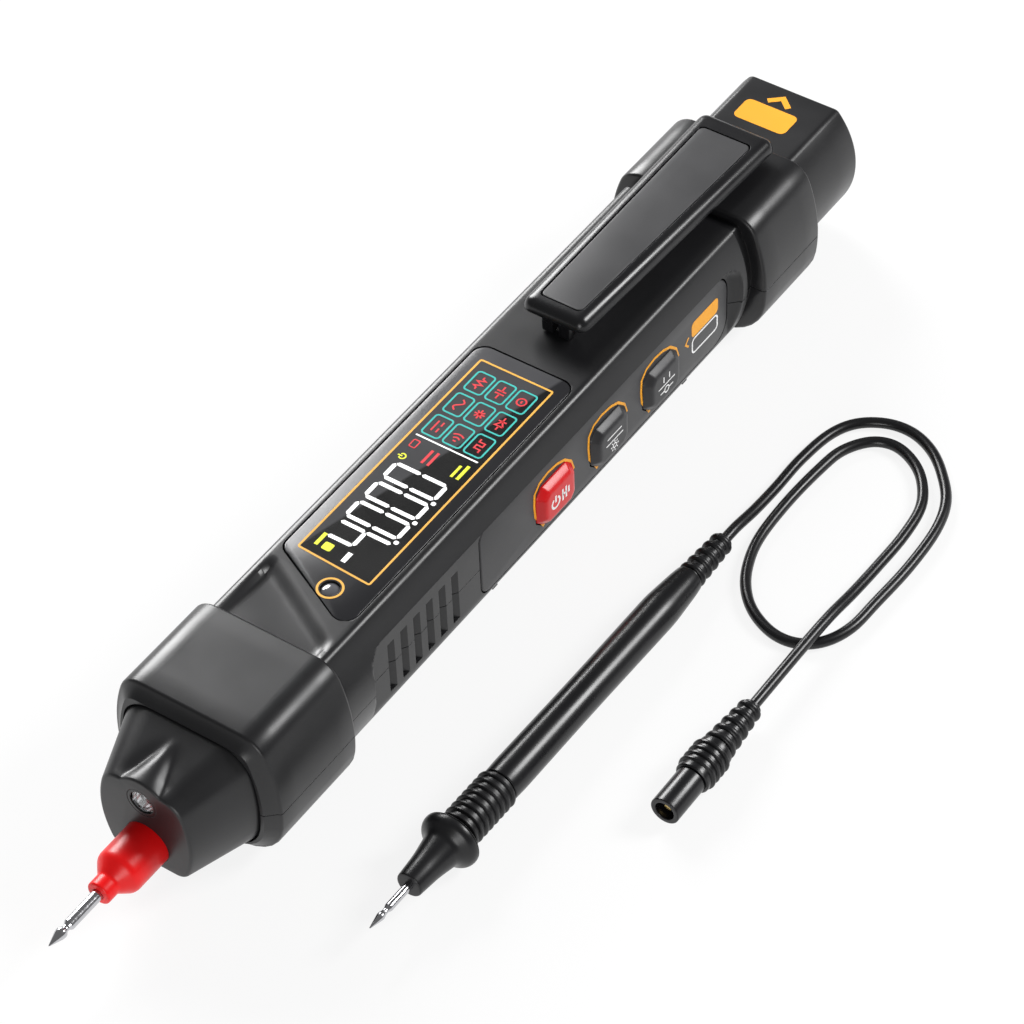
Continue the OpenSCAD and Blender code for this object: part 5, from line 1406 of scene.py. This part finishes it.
# %% Figures
LIT = PANEL_TOP + FIELD_T
FIGURE_W, FIGURE_H, STROKE = 3.7, 10.3, 0.78
FIGURE_X, FIGURE_Y, FIGURE_PITCH = -20.5, -5.2, 5.25
BAR_GAP = 0.12
SEGMENTS = {"top": ((0, 1), (1, 1)), "upper_left": ((0, 0.5), (0, 1)), "upper_right": ((1, 0.5), (1, 1)),
            "middle": ((0, 0.5), (1, 0.5)), "lower_left": ((0, 0), (0, 0.5)),
            "lower_right": ((1, 0), (1, 0.5)), "bottom": ((0, 0), (1, 0))}
ZERO = ("top", "upper_left", "upper_right", "lower_left", "lower_right", "bottom")
FOUR = ("upper_left", "upper_right", "middle", "lower_right")


def segment(x, y, name):
    """One bar of a figure, pointed at both ends."""
    a, b = (Vector((u * FIGURE_W, v * FIGURE_H)) for u, v in SEGMENTS[name])
    along = (b - a).normalized()
    side = Vector((-along.y, along.x)) * STROKE / 2
    a, b = a + along * BAR_GAP, b - along * BAR_GAP
    inset = along * STROKE / 2
    outline = [a, a + inset + side, b - inset + side, b, b - inset - side, a + inset - side]
    return plate([(x + p.x, y + p.y) for p in outline], LIT)


figures = []
for i, bars in enumerate((FOUR, ZERO, ZERO, ZERO)):
    figures += [segment(FIGURE_X + i * FIGURE_PITCH, FIGURE_Y, bar) for bar in bars]
for i in range(3):
    figures.append(plate(rounded(centred(-16 + i * FIGURE_PITCH, -5.6, 0.42, 0.42), 0.3, 3), LIT))
figures.append(plate(rectangle(-24.2, -1.2, -21.9, -0.3), LIT))
figures.append(ribbon([(6.3, -6.3), (6.3, 6.3)], 0.3, LIT))
printed("figures", "pen", "screen", FINISH["lit_white"], figures)
print("figures", len(figures))

# %% [markdown]
# Small yellow marks stand round the figures. Past the dividing line nine function signs
# are set in a grid of teal frames. Each sign is a few lines drawn about its own middle:
# plain symbols of circuit drawings and waves.

# %% Small marks and sign frames
yellow_marks = [plate(rounded(rectangle(-23.6, 2.4, -21.9, 4.2), 0.3, 3), LIT),
                plate(rectangle(-23.4, 5.0, -20.4, 5.7), LIT),
                ribbon([(1.2, -5.6), (4.8, -5.6)], 0.6, LIT), ribbon([(1.2, -4.4), (4.2, -4.4)], 0.5, LIT),
                ribbon(arc(0.8, 5.2, 0.6, 2.2, 2.2 + 5, 10), 0.25, LIT),
                ribbon([(0.8, 5.2), (0.8, 6.1)], 0.25, LIT)]
printed("yellow_marks", "pen", "screen", FINISH["lit_yellow"], yellow_marks)
SIGN_XS, SIGN_YS = (9.7, 15.9, 22.1), (4.3, 0, -4.3)
SIGN_HALF_W, SIGN_HALF_H = 2.5, 1.75
rings_teal = [ribbon(rounded(centred(x, y, SIGN_HALF_W, SIGN_HALF_H), 0.6, 4), 0.32, LIT, loop=True)
              for x in SIGN_XS for y in SIGN_YS]
printed("sign_frames", "pen", "screen", FINISH["lit_teal"], rings_teal)
print("sign frames", len(rings_teal))


# %% Function signs
SIGN_LINE = 0.3


def wave(x, y, high=0.65, count=12):
    turns = [i / count for i in range(count + 1)]
    return [(x - 1.4 + 2.8 * t, y + high * math.sin(math.tau * t)) for t in turns]


SIGN_LINES = [
    [[(-1.3, 0.5), (1.3, 0.5)], [(-1.3, -0.5), (-0.3, -0.5)], [(0.3, -0.5), (1.3, -0.5)]],
    [wave(0, 0)],
    [[(-1.6, 0), (-1.1, 0), (-0.8, 0.7), (-0.3, -0.7), (0.3, 0.7), (0.8, -0.7), (1.1, 0), (1.6, 0)]],
    [arc(-1.2, 0, 0.8, -0.9, 0.9, 5), arc(-1.2, 0, 1.6, -0.7, 0.7, 6), [(-1.3, -0.3), (-1.3, 0.3)]],
    [[(-1.1, 0), (1.1, 0)], [(0, -1), (0, 1)], [(-0.7, -0.7), (0.7, 0.7)], [(-0.7, 0.7), (0.7, -0.7)]],
    [[(-1.6, 0), (-0.35, 0)], [(-0.35, -0.9), (-0.35, 0.9)], [(0.35, -0.9), (0.35, 0.9)],
     [(0.35, 0), (1.6, 0)]],
    [[(-1.5, -0.6), (-0.8, -0.6), (-0.8, 0.6), (0, 0.6), (0, -0.6), (0.8, -0.6), (0.8, 0.6), (1.5, 0.6)]],
    [[(-1.6, 0), (-0.6, 0)], [(-0.6, -0.8), (-0.6, 0.8), (0.6, 0), (-0.6, -0.8)], [(0.6, -0.8), (0.6, 0.8)],
     [(0.6, 0), (1.6, 0)]],
    [arc(0, 0, 0.85, 0, math.tau, 16), [(-0.3, 0), (0.3, 0)]],
]
signs_red = []
places = [(x, y) for y in SIGN_YS for x in SIGN_XS]
for (x, y), lines in zip(places, SIGN_LINES):
    signs_red += [ribbon([(x + u, y + v) for u, v in line], SIGN_LINE, LIT) for line in lines]
signs_red += [ribbon([(1.2, 0.4 + 1.2 * i), (4.6, 0.4 + 1.2 * i)], 0.5, LIT) for i in range(2)]
signs_red += [ribbon(rounded(rectangle(3.4, 4.6, 5.2, 5.8), 0.2, 2), 0.22, LIT, loop=True)]
printed("function_signs", "pen", "screen", FINISH["lit_red"], signs_red)
print("signs", len(signs_red))

# %% [markdown]
# The button panel is an inlay in the side. Its three keys are long octagons with a
# tapering rim and a soft top edge. Each key stands in its own hole and carries a flange
# behind the panel, so that it can't fall out, and a stem that reaches its switch.

# %% Button panel
KEY_XS, KEY_Z = (19, 35.5, 52), 12.4
KEY_HALF_L, KEY_HALF_H, KEY_CUT, KEY_R = 5.4, 4.5, 1.7, 0.8
KEY_GAP, KEYS_SOFT = 0.2, 0.3


def key_plan(x, grow=0.0):
    """A long octagon about the middle of a key."""
    a, b, c = KEY_HALF_L + grow, KEY_HALF_H + grow, KEY_CUT + grow / 2
    corners = [(a, -b + c), (a, b - c), (a - c, b), (c - a, b), (-a, b - c), (-a, c - b), (c - a, -b),
               (a - c, -b)]
    return rounded([(x + u, KEY_Z + v) for u, v in corners], KEY_R, 4)


inlay = slab("button_inlay", keys_plan, soft_levels(KEYS_Y - KEYS_T, KEYS_Y, KEYS_SOFT), facing_buttons)
for x in KEY_XS:
    cut(inlay, slab("key_hole", lambda grow: key_plan(x, KEY_GAP), [(10, 0), (16, 0)], facing_buttons))
finish(inlay, "pen", "side_panel", FINISH["side_panel"], "button_panel")
print("button panel with", len(KEY_XS), "holes")

# %% Keys
KEY_LEVELS = [(11.35, 0), (12.6, 0), (12.8, -0.1), (13.6, -0.78), (13.86, -1.02), (14.02, -1.3),
              (14.09, -1.62), (14.1, -2)]
FLANGE_HALF_L, FLANGE_Y, FLANGE_Z = 6.5, (-11.35, -10.55), (9.655, 18)
STEM_HALF_L, STEM_HALF_H, STEM_Y, STEM_Z = 1.2, 0.8, (-10.6, -10.15), 16.985
KEY_COLOURS = {"power": "red_key", "hold": "dark_key", "mode": "dark_key"}
for x, (name, material) in zip(KEY_XS, KEY_COLOURS.items()):
    cap = slab(f"{name}_cap", lambda grow: key_plan(x, grow), KEY_LEVELS, facing_buttons)
    flange = box("flange", (x - FLANGE_HALF_L, FLANGE_Y[0], FLANGE_Z[0]),
                 (x + FLANGE_HALF_L, FLANGE_Y[1], FLANGE_Z[1]))
    stem = box("stem", (x - STEM_HALF_L, STEM_Y[0], STEM_Z - STEM_HALF_H),
               (x + STEM_HALF_L, STEM_Y[1], STEM_Z + STEM_HALF_H))
    key = joined(f"{name}_cap", [cap, flange, stem])
    finish(key, f"{name}_key", material, FINISH[material], f"{name}_button", angle=40)
print("keys", list(KEY_COLOURS))

# %% [markdown]
# Each key has a plain sign in white. It is drawn about the middle of the key and lies on
# its top, and it rides on the key, so that it goes in with it.

# %% Signs on the keys
KEY_TOP = KEY_LEVELS[-1][0]
BOLD, FINE = 0.42, 0.24


def sun(u, v, radius):
    """A disc outline with eight rays."""
    lines = [arc(u, v, radius, 0, math.tau, 12)]
    for i in range(8):
        c, s = (radius * f(math.tau * i / 8) for f in (math.cos, math.sin))
        lines.append([(u + c * 1.6, v + s * 1.6), (u + c * 2.4, v + s * 2.4)])
    return lines


KEY_SIGNS = {
    "power": (BOLD, [arc(-1.6, -0.1, 1.15, 2.1, 2.1 + 5.2, 14), [(-1.6, 0), (-1.6, 1.5)],
                     [(0.5, -1.3), (0.5, 1.3)], [(0.5, 0), (1.5, 0)], [(1.5, -1.3), (1.5, 1.3)],
                     [(2.3, -0.7), (2.3, 0.7)]]),
    "hold": (FINE, [[(-2.6, 0), (2.6, 0)], [(-2.2, 1.3), (2.2, 1.3)], *sun(0, -1.5, 0.5)]),
    "mode": (FINE, [[(-2.6, 0), (2.6, 0)], [(-0.9, 0.7), (-0.9, 2)], [(0.9, 0.7), (0.9, 2)],
                    arc(0, -1.4, 0.7, 0, math.tau, 12), [(0.7, -1.4), (2, -1.4)],
                    [(-0.7, -1.4), (-2, -1.4)]]),
}
for x, (name, (width, lines)) in zip(KEY_XS, KEY_SIGNS.items()):
    drawn = [ribbon([(x + u, KEY_Z + v) for u, v in line], width, KEY_TOP, facing_buttons) for line in lines]
    printed(f"{name}_sign", f"{name}_key", KEY_COLOURS[name], FINISH["white"], drawn)
print("signs on the keys", len(KEY_SIGNS))

# %% [markdown]
# A yellow line runs round the needle side of each key, and a filled and an empty field
# with a small arrow stand behind the last one. They are printed on the inlay itself.

# %% Prints on the button panel
KEY_PITCH = KEY_XS[1] - KEY_XS[0]
KEY_LINE = [(15.7, 7.3), (13.3, 11.4), (13.1, 14.1), (13.3, 16.7), (14.8, 18.2), (17.4, 18.7), (20.2, 18.4),
            (22.4, 17.5), (24.3, 15.6), (25.1, 13.1)]
lines = [ribbon([(u + i * KEY_PITCH, v) for u, v in KEY_LINE], 0.55, KEYS_Y, facing_buttons)
         for i in range(3)]
lines.append(plate(rounded(rectangle(62.4, 13.9, 71, 17.4), 0.9, 4), KEYS_Y, facing_buttons))
lines.append(ribbon([(61.4, 12.8), (60.4, 13.9), (61.4, 15)], 0.4, KEYS_Y, facing_buttons))
printed("key_lines", "pen", "side_panel", FINISH["yellow"], lines)
empty_field = rounded(rectangle(62.6, 10, 70.8, 13.4), 0.9, 4)
printed("badge_line", "pen", "side_panel", FINISH["white"],
        [ribbon(empty_field, 0.36, KEYS_Y, facing_buttons, loop=True)])
print("prints on the panel", len(lines) + 1)

# %% [markdown]
# The pocket clip is one moulding: a long plate with a convex bevel all round, hollow
# underneath, with a foot in the rear collar and two small ribs under its free end. A thin
# grey plate is let into its top. Both are drawn flat and then tipped to the clip's slope.

# %% Plans of the clip
CLIP_LEN, CLIP_T, CLIP_BEVEL, CLIP_R = 60.3, 2.4, 2.1, 2
CLIP_BACK_W, CLIP_FRONT_W = 7.9, 6.5
CLIP_X, CLIP_FLOOR, CLIP_RISE = 98, 30, math.radians(1.1)


def tapered(x0, half_w0, x1, half_w1, radius, steps, grow=0.0):
    """A long plan that narrows from its back end at x0 to its free end at x1."""
    return rounded([(x0 + grow, half_w0 + grow), (x1 - grow, half_w1 + grow),
                    (x1 - grow, -half_w1 - grow), (x0 + grow, -half_w0 - grow)], radius, steps)


def clip_plan(grow=0.0):
    radius = CLIP_R + max(grow, -CLIP_R / 2)
    return tapered(0, CLIP_BACK_W, -CLIP_LEN, CLIP_FRONT_W, radius, 6, grow)


def plate_plan(grow=0.0):
    return tapered(-4.6, 5.2, -57.6, 4.1, 1, 5, grow)


def hollow_plan(grow=0.0):
    return tapered(-12.7, 6, -58.1, 5, 1, 4, grow)


def tipped(piece):
    """Puts a piece drawn flat at the clip's root onto its slope."""
    piece.data.transform(Matrix.Translation((CLIP_X, 0, CLIP_FLOOR)) @ Matrix.Rotation(CLIP_RISE, 4, "Y"))
    return piece


print("clip", CLIP_LEN, "mm long")

# %% Pocket clip
CLIP_EDGE, CLIP_STEPS = 0.25, 8
PLATE_DEEP, PLATE_SOFT = 0.5, 0.15
HOLLOW_ROOF = 1.2
FOOT = ((87.5, -4.6, 24.8), (93, 4.6, CLIP_FLOOR + 0.8))
RIB_YS, RIB_W, RIB_X, RIB_Z = (-2.85, 0.55), 2.3, (38.7, 40.7), (27.2, 31.9)
bevel = quarter(CLIP_T - CLIP_EDGE, CLIP_STEPS, CLIP_BEVEL)[1:]
clip_levels = [(0, 0), (CLIP_EDGE, 0)] + [(CLIP_T - left, grow) for left, grow in bevel]
clip_body = slab("clip", clip_plan, clip_levels)
plate_floor = CLIP_T - PLATE_DEEP
cut(clip_body, slab("plate_seat", lambda g: plate_plan(INLAY_GAP), [(plate_floor, 0), (CLIP_T + BEYOND, 0)]),
    slab("hollow", hollow_plan, [(-BEYOND, 0), (0, 0), (CLIP_T - HOLLOW_ROOF, -HOLLOW_ROOF)]))
foot = box("foot", *FOOT)
ribs = [box("rib", (RIB_X[0], y, RIB_Z[0]), (RIB_X[1], y + RIB_W, RIB_Z[1])) for y in RIB_YS]
for piece in (foot, *ribs):
    apply(piece, "BEVEL", width=CLIP_EDGE, segments=2)
clip_body = joined("clip_moulding", [tipped(clip_body), foot, *ribs])
finish(clip_body, "clip", "clip_plastic", FINISH["clip"], "pocket_clip", angle=40)
inlay_plate = slab("clip_inlay", plate_plan, soft_levels(plate_floor + 0.02, CLIP_T, PLATE_SOFT))
finish(tipped(inlay_plate), "clip", "clip_plate", FINISH["plate"], "clip_plate")
print("clip", len(clip_body.data.polygons), "faces")

# %% [markdown]
# The lead is a set of turned pieces. The handle is a smooth barrel with a shoulder at its
# tail. The soft grip in front of it has eight round ribs, a wide finger guard and a tapered
# nozzle, and the steel tip comes out of that. Both strain reliefs are stacks of narrowing
# rings, which let the rubber bend. The handle is drawn along X and tipped until its guard
# and its shoulder rest on the surface.

# %% Laying out the lead
HANDLE_PLACE, LEAD_TILT = (33, -38, 2.775), math.radians(1.876)
RING_POINTS = (-1, -0.85, -0.5, 0, 0.5, 0.85, 1)
RING_INSET = 0.02


def laid(piece):
    """Puts a piece of the lead, drawn along X, in its tipped place on the surface."""
    piece.data.transform(Matrix.Translation(HANDLE_PLACE) @ Matrix.Rotation(LEAD_TILT, 4, "Y"))
    return piece


def rings_outline(x0, x1, r0, r1, count, depth, share=0.62):
    """Round-topped rings with grooves between, from one radius to another."""
    outline, pitch = [], (x1 - x0) / count
    for i in range(count):
        radius = r0 + (r1 - r0) * (i + 0.5) / count
        middle, half = x0 + pitch * (i + 0.5), pitch * share / 2
        groove = pitch / 2 - pitch * RING_INSET
        outline.append((middle - groove, radius - depth))
        outline += [(middle + half * u, radius - depth * abs(u) ** 3) for u in RING_POINTS]
        outline.append((middle + groove, radius - depth))
    return outline


print("lead tipped", round(math.degrees(LEAD_TILT), 1), "degrees")

# %% Handle
HANDLE_R, CORE_R = 3.4, 2.3
RELIEF_X, SHOULDER_X, BARREL_X, GRIP_X, GUARD_X, NOZZLE_X = -11, -20, -67.5, -80, -82.2, -92.7
CORE_X = NOZZLE_X + CORE_R
barrel = turned("handle_barrel", lathe_round([
    (CORE_X, 0, 0), (CORE_X, CORE_R, 0), (BARREL_X - 0.1, CORE_R, 0), (BARREL_X - 0.1, HANDLE_R - 0.1, 0.3),
    (BARREL_X + 3, HANDLE_R, 1), (BARREL_X + 24, HANDLE_R - 0.12, 8), (SHOULDER_X, HANDLE_R, 1.5),
    (RELIEF_X - 2, 2.85, 0.8), (RELIEF_X - 0.1, 2.6, 0.2), (RELIEF_X - 0.1, 0, 0)]))
finish(laid(barrel), "pen", "lead_plastic", FINISH["lead"], "lead_handle")
print("handle", len(barrel.data.polygons), "faces")

# %% Grip and tip
GRIP_R, GRIP_BORE, TIP_BORE, TIP_R = 3.75, 2.34, 0.77, 0.75
GRIP_RINGS, GRIP_GROOVE = 8, 0.5
TIP_X, TIP_ROOT = NOZZLE_X - 10.5, NOZZLE_X + 2.2
grip = [(CORE_X - 0.1, TIP_BORE), (NOZZLE_X, TIP_BORE)]
grip += lathe_round([
    (NOZZLE_X, 0.8, 0), (NOZZLE_X, 2.35, 0.35), (NOZZLE_X + 5, 2.75, 1.5), (GUARD_X - 1.4, 3.5, 0.8),
    (GUARD_X - 0.1, 5.1, 0.5), (GUARD_X + 0.9, 5.4, 0.5), (GUARD_X + 1.6, 5.2, 0.4), (GRIP_X, 3.3, 0.5),
    (GRIP_X + 0.25, 3.15, 0)])[1:]
grip += rings_outline(GRIP_X + 0.3, BARREL_X - 0.3, GRIP_R, GRIP_R, GRIP_RINGS, GRIP_GROOVE)
grip += [(BARREL_X - 0.2, 3.1), (BARREL_X - 0.2, GRIP_BORE), (CORE_X - 0.1, GRIP_BORE)]
soft_grip = turned("grip_moulding", grip, hollow=True)
finish(laid(soft_grip), "pen", "lead_rubber", FINISH["rubber"], "lead_grip", angle=40)
tip = turned("probe_tip", lathe_round([
    (TIP_X, 0, 0), (TIP_X + 0.1, 0.1, 0.05), (TIP_X + 3, TIP_R, 0.4), (TIP_X + 3.9, 0.5, 0.1),
    (TIP_X + 4.5, 0.5, 0.1), (TIP_X + 5.1, TIP_R, 0.15), (TIP_ROOT, TIP_R, 0), (TIP_ROOT, 0, 0)]))
finish(laid(tip), "pen", "steel", FINISH["steel"], "lead_tip", angle=25)
print("rings on the grip", GRIP_RINGS)

# %% [markdown]
# The strain reliefs and the plug are turned too. The plug is a thick body with four rings,
# and its contact stands back inside a plain shroud, where no finger reaches it.

# %% Strain reliefs
RELIEF_GROOVE, RELIEF_RINGS = 0.55, 5
PLUG_X, PLUG_Y, PLUG_Z = 3, -62.5, 3.6
PLUG_RELIEF_X = -8


def at_plug(piece):
    return moved(piece, y=PLUG_Y, z=PLUG_Z)


def relief(name, x0, x1, start_r, r0, r1):
    """A stack of narrowing rings on a solid core, closed at both ends."""
    rings = rings_outline(x0, x1, r0, r1, RELIEF_RINGS, RELIEF_GROOVE)
    return turned(name, [(x0, 0), (x0, start_r), *rings, (x1, 1.5), (x1, 0)])


handle_relief = relief("handle_relief", RELIEF_X, 0, 2.2, 2.6, 2.1)
finish(laid(handle_relief), "pen", "lead_rubber", FINISH["rubber"], "lead_strain_relief", angle=40)
plug_relief = relief("plug_taper", PLUG_RELIEF_X, PLUG_X, 2.7, 3, 2.1)
finish(at_plug(plug_relief), "pen", "lead_rubber", FINISH["rubber"], "plug_strain_relief", angle=40)
print("rings on a relief", RELIEF_RINGS)

# %% Plug
SHROUD_X0, SHROUD_X1, SHROUD_R, SHROUD_WALL, SHROUD_BASE = -23.6, -15.6, 2.65, 0.9, 1.8
PLUG_BODY_X0, PLUG_BODY_X1 = -15.5, -8.1
PIN_X0, PIN_X1, PIN_R, PIN_HOLE_R = -22.5, -11.75, 0.95, 0.97
swell = turned("plug_swell", [
    (PLUG_BODY_X0, PIN_HOLE_R), (PLUG_BODY_X0, 2.9), (PLUG_BODY_X0 + 0.2, 3.12), (-14.7, 3.15),
    *rings_outline(-14.5, -9, 3.55, 3.55, 4, 0.45),
    (-8.8, 3.12), (PLUG_BODY_X1, 3.0), (PLUG_BODY_X1, PIN_HOLE_R)], hollow=True)
finish(at_plug(swell), "pen", "lead_plastic", FINISH["lead"], "plug_body", angle=40)
tube_r, base_x = SHROUD_R - SHROUD_WALL, SHROUD_X1 - SHROUD_BASE
shroud = turned("plug_tube", lathe_round([
    (SHROUD_X1, PIN_HOLE_R, 0), (SHROUD_X1, SHROUD_R, 0.2), (SHROUD_X0, SHROUD_R, 0.25),
    (SHROUD_X0, tube_r, 0.2), (base_x, tube_r, 0.1), (base_x, PIN_HOLE_R, 0)]), hollow=True)
finish(at_plug(shroud), "pen", "lead_plastic", FINISH["lead"], "plug_shroud", angle=40)
pin = turned("plug_contact", lathe_round([(PIN_X0, 0, 0), (PIN_X0, PIN_R, 0.4), (PIN_X1, PIN_R, 0.1),
                                          (PIN_X1, 0, 0)]))
finish(at_plug(pin), "pen", "brass", FINISH["brass"], "plug_pin")
print("plug", round(PLUG_BODY_X1 - SHROUD_X0, 1), "mm long")

# %% [markdown]
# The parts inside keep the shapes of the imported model. They only need finishes, so that
# they look right when the door or a shell is taken off.

# %% Finishes of the parts inside
INSIDE = {"screen_module": "field", "screen_frame": "white", "light_sensor": "chips",
          "key_switches": "plated", "main_board": "board", "meter_chips": "chips", "input_fuse": "ceramic",
          "buzzer": "chips", "field_antenna": "copper", "cell_1": "cell", "cell_2": "cell",
          "cell_springs": "plated", "cell_plates": "plated", "socket_insert": "insert",
          "socket_contact": "brass", "shell_screws": "plated", "door_screw": "plated",
          "inner_wires": "wire", "needle_socket": "brass"}
for node, name in INSIDE.items():
    part = bpy.data.objects[node]
    part.data.materials.clear()
    part.data.materials.append(FINISH[name])
print("finishes inside", len(INSIDE))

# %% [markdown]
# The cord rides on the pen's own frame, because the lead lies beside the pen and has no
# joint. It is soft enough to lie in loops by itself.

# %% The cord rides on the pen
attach(cord, "pen")
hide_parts("lead_cord")
cord_curve.materials.append(FINISH["cable"])
